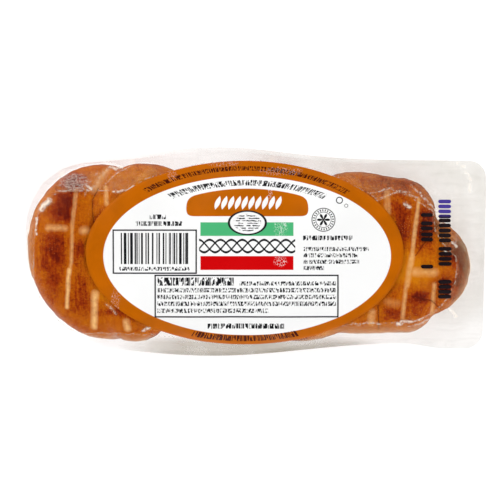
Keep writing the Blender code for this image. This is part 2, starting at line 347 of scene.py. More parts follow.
def size_setting(name, description, default, most, least=0.0):
    """A size in millimetres that a user would change."""
    return FloatProperty(
        name=name, description=description, default=default * MM, min=least * MM, max=most * MM,
        subtype="DISTANCE", unit="LENGTH",
    )


def share_setting(name, description, default, most=1.0):
    """A plain number that a user would change, such as how dull or how milky a thing is."""
    return FloatProperty(
        name=name, description=description, default=default, min=0.0, max=most, subtype="FACTOR",
    )


def power_setting(name, description, default, most):
    """The power of a lamp."""
    return FloatProperty(
        name=name, description=description, default=default, min=0.0, max=most,
        subtype="POWER", unit="POWER",
    )


def colour_setting(name, description, default):
    """A colour that a user would change."""
    return FloatVectorProperty(
        name=name, description=description, default=default, min=0.0, max=1.0, size=3,
        subtype="COLOR",
    )


class BraidSettings(PropertyGroup):
    """Sizes and colours of the smoked braid."""

    groove_depth: size_setting(
        "Groove depth", "How deep the rack's marks press into the skin", 0.45, 2.0)
    skin_relief: size_setting("Skin relief", "How uneven the skin is", 0.22, 1.0)
    light_skin: colour_setting("Light skin", "Lightly smoked skin", seen(208, 120, 2))
    deep_skin: colour_setting("Deep skin", "Well smoked skin", seen(185, 90, 1))
    red_skin: colour_setting(
        "Red skin", "Red brown skin round the darkest patches", seen(152, 50, 1))
    # Also the colour of the painted shade on the steep sides and the underside
    dark_skin_and_shade: colour_setting(
        "Dark skin", "Patches where the smoke took most", seen(98, 14, 0))
    # Painted shade along the seams between lobes
    seam_shade_colour: colour_setting(
        "Seams", "The thin lines where two lobes are pressed together", seen(84, 26, 4))
    mark_colour: colour_setting(
        "Rack marks", "Pale skin that the rack kept from the smoke", seen(250, 198, 130))
    roughness: share_setting("Roughness", "How dull the slightly greasy skin is", 0.5)


class PouchSettings(PropertyGroup):
    """Haze and gloss of the clear film."""

    tint: colour_setting("Tint", "The colour of the light that the film scatters", (0.86, 0.63, 0.3))
    skirt_tint: colour_setting(
        "Skirt tint", "The greyer colour of the two films where they lie together", (0.46, 0.41, 0.31))
    crush_tint: colour_setting(
        "Crushed tint", "The duller colour of the film where it is crushed", (0.5, 0.27, 0.24))
    # Also the colour of the painted glints on the folds
    crease_and_glint_tint: colour_setting("Crease tint", "The pale colour of its folds", (1.0, 0.9, 0.76))
    touching_haze: share_setting(
        "Haze on the cheese", "How milky the film is where it clings to the cheese", 0.003)
    loose_haze: share_setting(
        "Haze off the cheese", "How milky the film is where it spans a gap", 0.085)
    # Partly a painted reflection of the bright surroundings on the steep sides
    wall_haze_and_sheen: share_setting(
        "Haze of the sides", "How much milkier the film is where it falls steeply", 0.2)
    tab_haze: share_setting(
        "Haze of the tab", "How much milkier the film is towards its flat tab", 0.225)
    crease_haze: share_setting(
        "Haze of creases", "How much milkier the creases of the skirt are", 0.03)
    mirror: share_setting("Mirror", "How much light the film reflects straight back", 0.003)
    roughness: share_setting("Roughness", "How blurred the reflections are", 0.1)
    wrinkles: size_setting(
        "Wrinkles", "Height of the pleats where the film is loose", 0.5, 2.0)


class LabelSettings(PropertyGroup):
    """Colours and thickness of the printed label."""

    thickness: size_setting("Thickness", "Thickness of the sticker", 0.14, 1.0, least=0.05)
    paper: colour_setting("Paper", "The white middle", (0.96, 0.96, 0.955))
    border: colour_setting(
        "Border", "The wide orange brown border and the banner", seen(184, 94, 0))
    green: colour_setting("Green bar", "The upper bar", seen(78, 184, 122))
    red: colour_setting("Red bar", "The lower bar", seen(208, 4, 8))
    ink: colour_setting("Ink", "Black print", seen(28, 28, 32))
    brown_ink: colour_setting("Brown ink", "Dark print on the border", seen(70, 18, 4))


class CodeSettings(PropertyGroup):
    """The stacks of bars stamped across the film."""

    thickness: size_setting("Thickness", "Thickness of the ink", 0.06, 0.5, least=0.01)
    over_cheese: colour_setting(
        "Over the cheese", "The ink where the dark cheese is behind it", seen(20, 4, 10))
    over_tab: colour_setting(
        "Over the tab", "The ink where only clear film is behind it", seen(74, 60, 150))


class StageSettings(PropertyGroup):
    """The floor, the lights and the camera."""

    floor: colour_setting("Floor", "The plain pale floor", (0.5, 0.5, 0.5))
    floor_glow: share_setting(
        "Floor glow", "Light from the floor itself, as from a light table", 0.72, 5.0)
    camera_height: size_setting(
        "Camera height", "How far above the floor the camera stands", 1500.0, 5000.0, least=300.0)
    soft_power: power_setting("Soft light", "Power of the large soft light", 18.0, 200.0)
    glint_power: power_setting(
        "Glint light", "Power of the tiny light that the film mirrors", 4.0, 50.0)
    sky: share_setting(
        "Wall of light", "Brightness of the pale light all round", 0.8, 10.0)


# Curves of the pouch and the braid


def smooth_step(low, high, x):
    """0 up to the low limit, 1 from the high one on, with a smooth rise between them."""
    t = np.clip((x - low) / (high - low), 0.0, 1.0)
    return t * t * (3.0 - 2.0 * t)


def bell(x, centre, width):
    """1 at the centre, falling evenly to both sides."""
    return np.exp(-(((x - centre) / width) ** 2))


def round_end(x, length, squareness):
    """1 along the pouch, falling to 0 at its -X tip like a superellipse."""
    inward = np.clip(1.0 - (x + POUCH_LENGTH / 2) / length, 0.0, 1.0)
    return (1.0 - inward**squareness) ** (1.0 / squareness)


def tab_corner(x):
    """How far a rounded corner of the tab draws the long edge in."""
    over = np.clip(x - (POUCH_LENGTH / 2 - CORNER_RADIUS), 0.0, CORNER_RADIUS)
    return CORNER_RADIUS - np.sqrt(CORNER_RADIUS**2 - over**2)


def far_edge(x):
    """Where across the pouch its far edge lies."""
    bulge, middle, spread, tip_length, squareness = FAR_EDGE
    wide = POUCH_WIDTH / 2 - bulge + bulge * bell(x, middle, spread)
    return TIP_Y + (wide - TIP_Y) * round_end(x, tip_length, squareness) - tab_corner(x)


def near_edge(x):
    """Where across the pouch its near edge lies."""
    bulge, middle, spread, tip_length, squareness = NEAR_EDGE
    flare, start, end = NEAR_FLARE
    wide = POUCH_WIDTH / 2 - bulge + bulge * bell(x, middle, spread)
    wide += flare * smooth_step(start, end, x)
    return TIP_Y - (wide + TIP_Y) * round_end(x, tip_length, squareness) + tab_corner(x)


def slanted(x, y):
    """x with the tab's end sheared, as its seal is cut a little askew."""
    return x - END_SLANT * (POUCH_WIDTH / 2 - y) * smooth_step(SLANT_START, POUCH_LENGTH / 2, x)


def seam_height(x, y):
    """The height at which the pouch's two films meet, over its whole plan."""
    on_tab = smooth_step(TAB_START, POUCH_LENGTH / 2, x)
    far = FAR_SEAM_LIFT * smooth_step(*FAR_LIFT_RUN, y) * (1.0 - TAB_LEVELLING * on_tab)
    near = NEAR_SEAM_DROP * smooth_step(*NEAR_DROP_RUN, -y)
    height, length, phase = SKIRT_WAVE
    wave = height * np.sin(x / length + phase) * (y / POUCH_WIDTH * 2.0) ** 2
    height, length, phase = TAB_WAVE
    curl = height * on_tab * np.sin(y / length + phase)
    return SEAM_HEIGHT + far - near - TAB_DROOP * on_tab**2 + wave + curl


def strand_run(number):
    """One strand from its start at the fold to its end at +X, as rows of x, y, z and stoutness."""
    lobe_turn, lobe_x, tightness, bulge, lift = STRAND_LOBES[number]
    end_x, end_y, end_z, stoutness, steer_from, steer_to = STRAND_ENDS[number]
    start = STRAND_STARTS[number]
    last_turn = lobe_turn + (end_x - lobe_x) * 360.0 / BRAID_PERIOD
    turn = np.linspace(start, last_turn, STRAND_POINTS)
    before = turn < lobe_turn
    x = lobe_x + (turn - lobe_turn) * BRAID_PERIOD / 360.0 * np.where(before, tightness, 1.0)
    x -= bulge * np.where(before, np.cos(np.radians(turn)), 0.0)
    y = BRAID_SWING * np.sin(np.radians(turn))
    z = BRAID_MID_HEIGHT + BRAID_LIFT * np.sin(np.radians(2.0 * turn))
    z += lift * (1.0 - smooth_step(start, start + START_LIFT_TURN, turn))
    steer = smooth_step(end_x - steer_from, end_x - steer_to, x)
    y += (end_y - y) * steer
    z += (end_z - z) * steer
    swell = 1.0 + (stoutness - 1.0) * smooth_step(end_x - END_SWELL, end_x, x)
    return np.stack([x, y, z, swell], axis=1)


def evened(line, rounds):
    """The line with its corners rounded off, its ends kept."""
    for _ in range(rounds):
        line[1:-1] = (line[:-2] + 2.0 * line[1:-1] + line[2:]) / 4.0
    return line


def fold(start, end):
    """The bend that joins two strands at the braid's -X end, as rows like those of a strand."""
    angle = np.linspace(0.0, math.pi, FOLD_POINTS)[1:-1, None]
    middle, half = (start + end) / 2.0, (start - end) / 2.0
    bend = middle + half * np.cos(angle)
    bend[:, 0:1] -= FOLD_REACH * np.sin(angle)
    bend[:, 2:3] += FOLD_RISE * np.sin(angle)
    bend[:, 3:4] -= FOLD_SLIMMING * np.clip(-np.sin(2.0 * angle), 0.0, None)
    return bend


def braid_lines():
    """The lines that the two ropes run on: one folded into two strands, and one single strand."""
    first, second, third = (strand_run(number) for number in range(3))
    rope = np.concatenate([third[::-1], fold(third[0], first[0]), first])
    return [evened(rope, ROPE_SMOOTHING), evened(second, STRAND_SMOOTHING)]


def braid_heights(x, y, spare):
    """The upper and lower surface over the plan of the braid with this much spare round it."""
    upper = np.full(x.shape, -np.inf)
    lower = np.full(x.shape, np.inf)
    for line in braid_lines():
        for cx, cy, cz, stoutness in line:
            away = ((x - cx) ** 2 + (y - cy) ** 2) / (STRAND_HALF_WIDTH * stoutness + spare) ** 2
            rise = (STRAND_HALF_HEIGHT + spare) * np.sqrt(np.clip(1.0 - away, 0.0, None))
            upper = np.where(away < 1.0, np.maximum(upper, cz + rise), upper)
            lower = np.where(away < 1.0, np.minimum(lower, cz - rise), lower)
    return pressed(upper), np.maximum(lower, 0.0)


def pressed(z):
    """Heights after the vacuum has pressed the tops of the strands flat."""
    return z - PRESSED_SOFTNESS * np.logaddexp(0.0, (z - PRESSED_TOP) / PRESSED_SOFTNESS)


def label_reach(x, y):
    """0 at the label's middle, 1 at its edge."""
    across = (x - LABEL_CENTRE[0]) * 2.0 / LABEL_LENGTH
    up = (y - LABEL_CENTRE[1]) * 2.0 / LABEL_WIDTH
    return np.hypot(across, up)


def ripple(x, y, size, seed, z=0.0):
    """An uneven field of about -1 to 1 with bumps this many mm across, the same on every run."""
    draw = np.random.default_rng(seed)
    total = 0.0 * x
    lowest, highest = (0.0, 0.0, 0.7), (6.28, 6.28, 1.5)
    for angle, phase, stretch in draw.uniform(lowest, highest, (RIPPLE_WAVES, 3)):
        along = x * np.cos(angle) + y * np.sin(angle) + z * np.cos(3.0 * angle)
        total += np.sin(along * 2.0 * math.pi / (size * stretch) + phase)
    return total / RIPPLE_HEIGHT


def from_line(x, y, points):
    """How far points of the plan are from a line of straight runs."""
    nearest = np.full(x.shape, np.inf)
    for (x0, y0), (x1, y1) in zip(points, points[1:]):
        along = ((x - x0) * (x1 - x0) + (y - y0) * (y1 - y0)) / ((x1 - x0) ** 2 + (y1 - y0) ** 2)
        along = np.clip(along, 0.0, 1.0)
        nearest = np.minimum(nearest, np.hypot(x - x0 - along * (x1 - x0), y - y0 - along * (y1 - y0)))
    return nearest


def past_outline(x, y, outline):
    """How far points of the plan are outside a closed outline, below 0 inside it."""
    ring = outline + outline[:1]
    inside = np.zeros(x.shape, dtype=bool)
    for (x0, y0), (x1, y1) in zip(ring, ring[1:]):
        if y0 != y1:
            crossing = x0 + (y - y0) * (x1 - x0) / (y1 - y0)
            inside ^= ((y0 > y) != (y1 > y)) & (x < crossing)
    return from_line(x, y, ring) * np.where(inside, -1.0, 1.0)


# The film: two sheets pulled tight over the braid and down to the seam


def plan_grid(columns, rows):
    """Points that fill the outline, as x and y by column and row, crowding towards both ends."""
    along = np.linspace(0.0, 1.0, columns + 1)
    crowded = (1.0 - np.cos(math.pi * along)) / 2.0
    along = (1.0 - END_CROWDING) * along + END_CROWDING * crowded
    column_x = POUCH_LENGTH * (along - 0.5)
    # The first column stands a little way in, where the pouch has a width.
    column_x[0] += TIP_SETBACK
    low, high = near_edge(column_x)[:, None], far_edge(column_x)[:, None]
    y = low + (high - low) * np.linspace(0.0, 1.0, rows + 1)
    return column_x[:, None] + 0.0 * y, y


def drape(x, y, obstacle, edge, pull):
    """A sheet held at the outline and pulled taut over the obstacle.

    Each point moves in turn to the middle of its four neighbours, weighted by their distances,
    less the pull of the air, and never into the obstacle.
    """
    sheet = np.maximum(obstacle, edge)
    run = np.hypot(np.diff(x, axis=0), np.diff(y, axis=0))
    back, ahead = run[:-1, 1:-1], run[1:, 1:-1]
    rise = np.maximum(np.diff(y, axis=1), TINY)
    down, up = rise[1:-1, :-1], rise[1:-1, 1:]
    weights = (
        2.0 / (back * (back + ahead)),
        2.0 / (ahead * (back + ahead)),
        2.0 / (down * (down + up)),
        2.0 / (up * (down + up)),
    )
    total = sum(weights)
    inner = np.s_[1:-1, 1:-1]
    sealed = np.minimum(y - y[:, :1], y[:, -1:] - y) < SEALED_MARGIN
    sealed |= x > POUCH_LENGTH / 2 - SEALED_MARGIN
    ix, iy = np.indices(sheet.shape)
    turns = [((ix + iy) % 2 == parity)[inner] & ~sealed[inner] for parity in (0, 1)]
    for sweep in range(DRAPE_SWEEPS):
        around = (
            weights[0] * sheet[:-2, 1:-1] + weights[1] * sheet[2:, 1:-1]
            + weights[2] * sheet[1:-1, :-2] + weights[3] * sheet[1:-1, 2:]
        )
        target = (around - pull[inner]) / total
        moved = sheet[inner] + DRAPE_OVERSHOOT * (target - sheet[inner])
        sheet[inner] = np.where(turns[sweep % 2], np.maximum(moved, obstacle[inner]), sheet[inner])
    return sheet


@functools.lru_cache(maxsize=1)
def film_sheets():
    """Both films without their wrinkles: x, y, upper and lower height, and each one's gap."""
    x, y = plan_grid(FILM_COLUMNS, FILM_ROWS)
    seam = seam_height(x, y)
    upper, lower = braid_heights(slanted(x, y), y, SKIN_GAIN + FILM_STAND_OFF)
    half = FILM_THICKNESS / 2
    under_label = 1.0 - smooth_step(*LABEL_HOLD, label_reach(x, y))
    pull = FILM_PULL + (LABEL_PULL - FILM_PULL) * under_label
    top = drape(x, y, np.maximum(upper + FILM_CLEARANCE, seam + half), seam + half, pull)
    # The lower film is the same sheet seen from below.
    under = drape(x, y, np.maximum(-lower, half - seam), half - seam, FILM_PULL + 0.0 * pull)
    under = np.maximum(-under, 0.0)
    return x, y, top, under, top - upper, lower - under


def height_at(sheet, x, y):
    """The height of a sheet given on the film's grid, at points of the plan."""
    grid_x = film_sheets()[0]
    column = np.interp(x, grid_x[:, 0], np.arange(FILM_COLUMNS + 1.0))
    column = np.clip(column, 0.0, FILM_COLUMNS - TINY)
    row = (y - near_edge(x)) / (far_edge(x) - near_edge(x)) * FILM_ROWS
    row = np.clip(row, 0.0, FILM_ROWS - TINY)
    i, j = column.astype(int), row.astype(int)
    u, v = column - i, row - j
    low = sheet[i, j] * (1.0 - v) + sheet[i, j + 1] * v
    high = sheet[i + 1, j] * (1.0 - v) + sheet[i + 1, j + 1] * v
    return low * (1.0 - u) + high * u


def laid_at(sheet, x, y, lift):
    """Points of the plan set this far off the sheet, measured square to it."""
    step = SLOPE_STEP
    rise_x = (height_at(sheet, x + step, y) - height_at(sheet, x - step, y)) / (2.0 * step)
    rise_y = (height_at(sheet, x, y + step) - height_at(sheet, x, y - step)) / (2.0 * step)
    straight_up = lift * np.sqrt(1.0 + rise_x**2 + rise_y**2)
    return np.stack([slanted(x, y), y, height_at(sheet, x, y) + straight_up], axis=-1)


# Meshes


def linked(name, mesh):
    """A piece of the scene with this mesh."""
    piece = bpy.data.objects.new(name, mesh)
    bpy.context.scene.collection.objects.link(piece)
    return piece


def new_piece(name, points, faces, material):
    """A smooth piece with these points, in mm, these faces and this material."""
    mesh = bpy.data.meshes.new(name)
    mesh.from_pydata((np.asarray(points) * MM).tolist(), [], faces)
    bm = bmesh.new()
    bm.from_mesh(mesh)
    bmesh.ops.recalc_face_normals(bm, faces=bm.faces)
    bm.to_mesh(mesh)
    bm.free()
    mesh.shade_smooth()
    mesh.materials.append(material)
    return linked(name, mesh)


def quads_of(number):
    """The four-sided faces between a grid of numbered points."""
    corners = number[:-1, :-1], number[1:, :-1], number[1:, 1:], number[:-1, 1:]
    return np.stack(corners, axis=-1).reshape(-1, 4)


def rim_of(number):
    """The numbers of a grid's outermost points, in order round it."""
    return np.concatenate([number[:, 0], number[-1, 1:], number[-2::-1, -1], number[0, -2:0:-1]])


def band_between(rim, other):
    """The four-sided faces that join two closed rings of numbered points."""
    return np.stack([rim, np.roll(rim, -1), np.roll(other, -1), other], axis=-1)


def shell_of(upper, lower):
    """The faces of an upper and a lower grid of numbered points, and of the band round them."""
    band = band_between(rim_of(upper), rim_of(lower))
    return np.concatenate([quads_of(upper), quads_of(lower)[:, ::-1], band])


def write_attribute(mesh, name, values):
    """Keeps a number for each point of the mesh, for its material to read."""
    layer = mesh.attributes.new(name, "FLOAT", "POINT")
    layer.data.foreach_set("value", np.asarray(values, dtype=np.float32).ravel())


def read_points(mesh, what="co"):
    """The mesh's points, or their normals, as rows."""
    rows = np.empty(len(mesh.vertices) * 3, dtype=np.float32)
    mesh.vertices.foreach_get(what, rows)
    return rows.reshape(-1, 3).astype(float)


def relaxed(points, edges, rounds):
    """The points after each has moved this often to the middle of its neighbours."""
    first, second = edges
    count = np.bincount(np.concatenate(edges), minlength=len(points))
    for _ in range(rounds):
        around = [
            np.bincount(first, points[second, axis], len(points))
            + np.bincount(second, points[first, axis], len(points))
            for axis in range(3)
        ]
        points = np.stack(around, axis=1) / count[:, None]
    return points


def strand_balls():
    """A chain of overlapping balls along each strand, as one mesh of points and triangles."""
    bm = bmesh.new()
    bmesh.ops.create_icosphere(bm, subdivisions=3, radius=1.0)
    ball = np.array([vert.co for vert in bm.verts])
    sides = np.array([[vert.index for vert in face.verts] for face in bm.faces])
    bm.free()
    points, faces = [], []
    for line in braid_lines():
        for x, y, z, stoutness in np.concatenate([line[::2], line[-1:]]):
            half_width = STRAND_HALF_WIDTH * stoutness
            faces.append(sides + len(ball) * len(points))
            points.append(ball * (half_width, half_width, STRAND_HALF_HEIGHT) + (x, y, z))
    return np.concatenate(points), np.concatenate(faces)


def fused(points, faces):
    """The outer skin of these overlapping balls, as an even mesh."""
    mesh = bpy.data.meshes.new("strands")
    mesh.from_pydata((points * MM).tolist(), [], faces.tolist())
    holder = linked("strands", mesh)
    remesh = holder.modifiers.new("skin", "REMESH")
    remesh.mode = "VOXEL"
    remesh.voxel_size = BRAID_VOXEL * MM
    depsgraph = bpy.context.evaluated_depsgraph_get()
    skin = bpy.data.meshes.new_from_object(holder.evaluated_get(depsgraph))
    bpy.data.objects.remove(holder)
    bpy.data.meshes.remove(mesh)
    return skin


def move_points(mesh, points):
    """Moves the mesh's points to these places, in mm."""
    mesh.vertices.foreach_set("co", (points * MM).ravel())
    mesh.update()


def rack_marks(x, y, facing):
    """How strongly the rack marked each point of the skin, 0 to 1."""
    mark = 0.0 * x
    for half_width, strength, _, points in RACK_MARKS:
        line = strength * bell(from_line(x, y, points), 0.0, half_width)
        mark = np.maximum(mark, line * smooth_step(0.0, 0.5, facing))
    for wire_x in UNDER_WIRES:
        line = x + WIRE_SLANT * y + WIRE_WAVE[0] * np.sin(y / WIRE_WAVE[1])
        line = WIRE_STRENGTH * bell(line, wire_x, WIRE_HALF_WIDTH)
        mark = np.maximum(mark, line * smooth_step(0.3, 0.8, -facing))
    return mark


def seam_depth(x, y):
    """1 along the seams between lobes, falling to 0 beside them."""
    nearest = np.min([from_line(x, y, points) for points in SEAM_LINES], axis=0)
    return bell(nearest, 0.0, SEAM_HALF_WIDTH)


def smoke_and_shade_patches(x, y, z, facing):
    """How much darker, or with a minus lighter, the smoke left each point of the skin.

    Two patches at the bulb of the +X end paint the shade on its far side instead.
    """
    patch = 0.0 * x
    for cx, cy, half_x, half_y, strength in SMOKE_AND_SHADE_PATCHES:
        patch += strength * np.exp(-np.abs((x - cx) / half_x) ** 3 - np.abs((y - cy) / half_y) ** 3)
    patch *= smooth_step(-0.2, 0.4, facing)
    elsewhere = smooth_step(0.1, 0.5, -facing) + (1.0 - smooth_step(0.95, 1.1, label_reach(x, y)))
    elsewhere = PLAIN_SMOKE * np.clip(elsewhere, 0.0, 1.0)
    return patch + elsewhere * ripple(x, y, SMOKE_BLOTCH, 3, z)


def filled_clefts(points, facing):
    """The points with the clefts between lobes filled towards the film, where it grips them."""
    x, y, z = points.T
    room = height_at(film_sheets()[2], x, y) - 2.0 * FILM_CLEARANCE - z
    gripped = smooth_step(0.0, 3.0, -past_outline(x, y, CONTACT_LINE))
    dip_x, dip_y, dip_reach = PRESSED_DIP
    gripped = np.maximum(gripped, bell(np.hypot(x - dip_x, y - dip_y), 0.0, dip_reach))
    gripped = gripped * smooth_step(-0.1, 0.3, facing)
    points[:, 2] += PRESSED_TOGETHER * gripped * np.clip(room, 0.0, MOST_PRESSED)
    return points


def make_braid(settings):
    """The smoked braid: its strands fused, pressed together, grooved and marked."""
    mesh = fused(*strand_balls())
    edges = np.empty(len(mesh.edges) * 2, dtype=np.int32)
    mesh.edges.foreach_get("vertices", edges)
    edges = edges[0::2], edges[1::2]
    points = relaxed(read_points(mesh) / MM, edges, 3) + SKIN_GAIN * read_points(mesh, "normal")
    points[:, 2] = pressed(points[:, 2])
    over_table = (points[:, 2] - TABLE_GAP) / TABLE_SOFTNESS
    points[:, 2] = TABLE_GAP + TABLE_SOFTNESS * np.logaddexp(0.0, over_table)
    points = filled_clefts(points, read_points(mesh, "normal")[:, 2])
    points = relaxed(points, edges, 1)
    move_points(mesh, points)

    # Marks and seams press in, and the skin is uneven.
    normal = read_points(mesh, "normal")
    x, y, z = points.T
    upper_side = smooth_step(0.0, 0.5, normal[:, 2])
    relief = sum(share * ripple(x, y, size, seed, z) for share, size, seed in SKIN_BUMPS) - 1.0
    depth = settings.groove_depth / MM * rack_marks(x, y, normal[:, 2])
    depth += settings.groove_depth / MM * upper_side * seam_depth(x, y)
    depth -= settings.skin_relief / MM * relief
    points -= normal * np.clip(depth, 0.0, None)[:, None]
    move_points(mesh, points)

    # How deep each point lies in a hollow, for the painted shade there
    hollow_shade = np.sum(normal * (relaxed(points, edges, HOLLOW_SMOOTHING) - points), axis=1)
    write_attribute(mesh, "upper_side", upper_side)
    write_attribute(mesh, "smoke", smoke_and_shade_patches(x, y, z, normal[:, 2]))
    write_attribute(mesh, "hollow_shade", np.clip(hollow_shade / FULL_HOLLOW, 0.0, 1.0))
    mesh.name = "braid"
    mesh.shade_smooth()
    mesh.materials.clear()
    mesh.materials.append(cheese_finish(settings))
    return linked("braid", mesh)


def film_creases(x, y):
    """The pattern of creases in loose film, in shares of their full height.

    Pleats about 7 mm apart run across the pouch, rucks about 11 mm apart lie askew to them, and
    fine wrinkles fill the rest.
    """
    bend = ripple(x, y, 26.0, 21)
    pleats = 1.0 - np.abs(np.sin(x / 2.3 + 2.4 * bend + 0.5 * ripple(x, y, 7.0, 22)))
    rucks = 1.0 - np.abs(np.sin((x + 0.7 * y) / 3.4 + 2.0 * bend))
    fine = 1.0 - np.abs(ripple(x, y, 5.0, 26))
    return 0.5 * pleats**3 + 0.35 * rucks**4 + 0.3 * fine**6


def crumpled_patch(x, y):
    """1 where the film is crushed into a patch of tiny facets, fading to 0 round it."""
    cx, cy, half_x, half_y = CRUMPLED_PATCH
    return np.exp(-(((x - cx) / half_x) ** 4) - ((y - cy) / half_y) ** 4)


def film_folds(x, y):
    """Each fold's height, how far the points are from it, its whiteness and its half width."""
    crooked_x = x + 0.25 * ripple(x, y, 4.0, 27)
    crooked_y = y + 0.25 * ripple(x, y, 4.0, 28)
    for height, whiteness, half_width, points in FILM_FOLDS:
        yield height, from_line(crooked_x, crooked_y, points), whiteness, half_width


def film_lift(x, y, loose):
    """How far wrinkles lift the film, in shares of their full height.

    loose is how far, in mm, each point is past the line where the film lets go of the cheese.
    """
    free = smooth_step(0.0, 3.0, loose)
    edge = np.minimum(far_edge(x) - y, y - near_edge(x))
    lift = free * film_creases(x, y) * smooth_step(1.0, 5.0, edge)
    # The ridge where the film lets go of the cheese, the crushed patch and the single folds
    lift += 0.5 * bell(loose, 0.4, 0.6) * smooth_step(-0.4, 0.8, ripple(x, y, 5.0, 23))
    lift += 0.9 * crumpled_patch(x, y) * (1.0 - np.abs(ripple(x, y, 2.6, 25)))
    for height, away, _, half_width in film_folds(x, y):
        lift += height * bell(away, 0.0, 1.6 * half_width)
    off_label = smooth_step(0.97, 1.06, label_reach(x, y))
    sealed = smooth_step(0.0, 1.5, edge) * smooth_step(0.0, 1.5, POUCH_LENGTH / 2 - x)
    return lift * off_label * sealed


@functools.lru_cache(maxsize=1)
def wrinkled_films(wrinkles):
    """Both films with wrinkles of this height, and how far past its hold on the cheese each is."""
    x, y, top, under, _, under_gap = film_sheets()
    loose = past_outline(slanted(x, y), y, CONTACT_LINE)
    # Nothing shows where the lower film lets go, so its gap stands for it.
    under_loose = 4.0 * (np.minimum(under_gap, 4.0) - 1.0)
    top = top + wrinkles * film_lift(x, y, loose)
    # The same pattern of wrinkles, taken from elsewhere
    drop = film_lift(x + 31.0, 0.96 * y, under_loose)
    clear_of_table = smooth_step(0.0, 3.0, under) * smooth_step(0.5, 2.5, top - under)
    return top, under - wrinkles * drop * clear_of_table, loose, under_loose


def steepness(x, y, z):
    """0 where a sheet lies flat, 1 where it falls steeply down a side."""
    along = np.gradient(z, axis=0) / np.gradient(x, axis=0)
    across = np.gradient(z, axis=1) / np.maximum(np.gradient(y, axis=1), TINY)
    return smooth_step(0.5, 1.6, np.hypot(along, across))


def make_film(settings):
    """The clear pouch: an upper and a lower film, wrinkled where loose, that meet at the edge."""
    x, y, _, _, gap, under_gap = film_sheets()
    top, under, loose, under_loose = wrinkled_films(settings.wrinkles / MM)
    number = np.arange(x.size).reshape(x.shape)
    sheets = [np.stack([slanted(x, y), y, z], axis=-1).reshape(-1, 3) for z in (top, under)]
    faces = shell_of(number, number + x.size).tolist()
    piece = new_piece("film", np.concatenate(sheets), faces, film_finish(settings))

    upper_sheet = np.stack([np.ones(x.shape), np.zeros(x.shape)])
    # The folds' whiteness, which paints their glints as well
    whitened = [
        whiteness * bell(away, 0.0, max(half_width, 0.3) * 1.3)
        for _, away, whiteness, half_width in film_folds(slanted(x, y), y)
    ]
    gaps = np.clip(np.stack([gap, under_gap]), 0.0, WIDEST_GAP)
    for axis in (1, 2):
        gaps = np.max([gaps, np.roll(gaps, 1, axis), np.roll(gaps, -1, axis)], axis=0)
    write_attribute(piece.data, "loose", np.stack([loose, under_loose]))
    write_attribute(piece.data, "gap", gaps)
    write_attribute(piece.data, "upper_sheet", upper_sheet)
    write_attribute(piece.data, "fold", np.max(whitened, axis=0) * upper_sheet)
    write_attribute(piece.data, "steep", np.stack([steepness(x, y, z) for z in (top, under)]))
    return piece


def make_label(settings):
    """The oval sticker: rings of points laid on the film, thickened upwards."""
    angle = np.arange(LABEL_SECTORS) * 2.0 * math.pi / LABEL_SECTORS
    share = np.arange(1, LABEL_RINGS + 1)[:, None] / LABEL_RINGS
    x = LABEL_CENTRE[0] + share * LABEL_LENGTH / 2 * np.cos(angle)
    y = LABEL_CENTRE[1] + share * LABEL_WIDTH / 2 * np.sin(angle)
    x = np.append(x.ravel(), LABEL_CENTRE[0])
    y = np.append(y.ravel(), LABEL_CENTRE[1])
    edge_lift = EDGE_LIFT * smooth_step(0.94, 1.0, label_reach(x, y)) * (1.0 + ripple(x, y, 7.0, 31))
    film = film_sheets()[2]
    low = laid_at(film, x, y, LABEL_GAP + edge_lift)
    high = laid_at(film, x, y, LABEL_GAP + edge_lift + settings.thickness / MM)

    hub = LABEL_RINGS * LABEL_SECTORS
    ring = np.arange(hub).reshape(LABEL_RINGS, LABEL_SECTORS)
    after = np.roll(ring, -1, axis=1)
    quads = np.stack([ring[:-1], ring[1:], after[1:], after[:-1]], axis=-1).reshape(-1, 4)
    fan = np.stack([np.full(LABEL_SECTORS, hub), ring[0], after[0]], axis=-1)
    on_top = hub + 1
    faces = (quads + on_top).tolist() + (fan + on_top).tolist()
    faces += band_between(ring[-1], ring[-1] + on_top).tolist()
    faces += quads[:, ::-1].tolist() + fan[:, ::-1].tolist()
    return new_piece("label_sticker", np.concatenate([low, high]), faces, label_finish(settings))


def make_code_marks(settings, wrinkles):
    """The stacks of ink bars across the film, each a thin rounded plate that follows it."""
    film = wrinkled_films(wrinkles / MM)[0]
    u, v = np.meshgrid(*(np.linspace(-1.0, 1.0, count) for count in BAR_POINTS), indexing="ij")
    round_off = np.sqrt(np.clip(1.0 - np.abs(u) ** 8, 0.05, 1.0))
    points, faces = [], []
    for cx, cy, length, bars in CODE_STACKS:
        for bar in range(bars):
            middle_y = cy + (bar - (bars - 1) / 2.0) * CODE_PITCH
            x, y = cx + u * length / 2.0, middle_y + v * CODE_BAR / 2.0 * round_off
            number = len(points) * u.size + np.arange(u.size).reshape(u.shape)
            faces += shell_of(number + u.size, number).tolist()
            for lift in (INK_GAP, INK_GAP + settings.thickness / MM):
                points.append(laid_at(film, x, y, lift).reshape(-1, 3))
    return new_piece("code_marks", np.concatenate(points), faces, ink_finish(settings))


# Materials


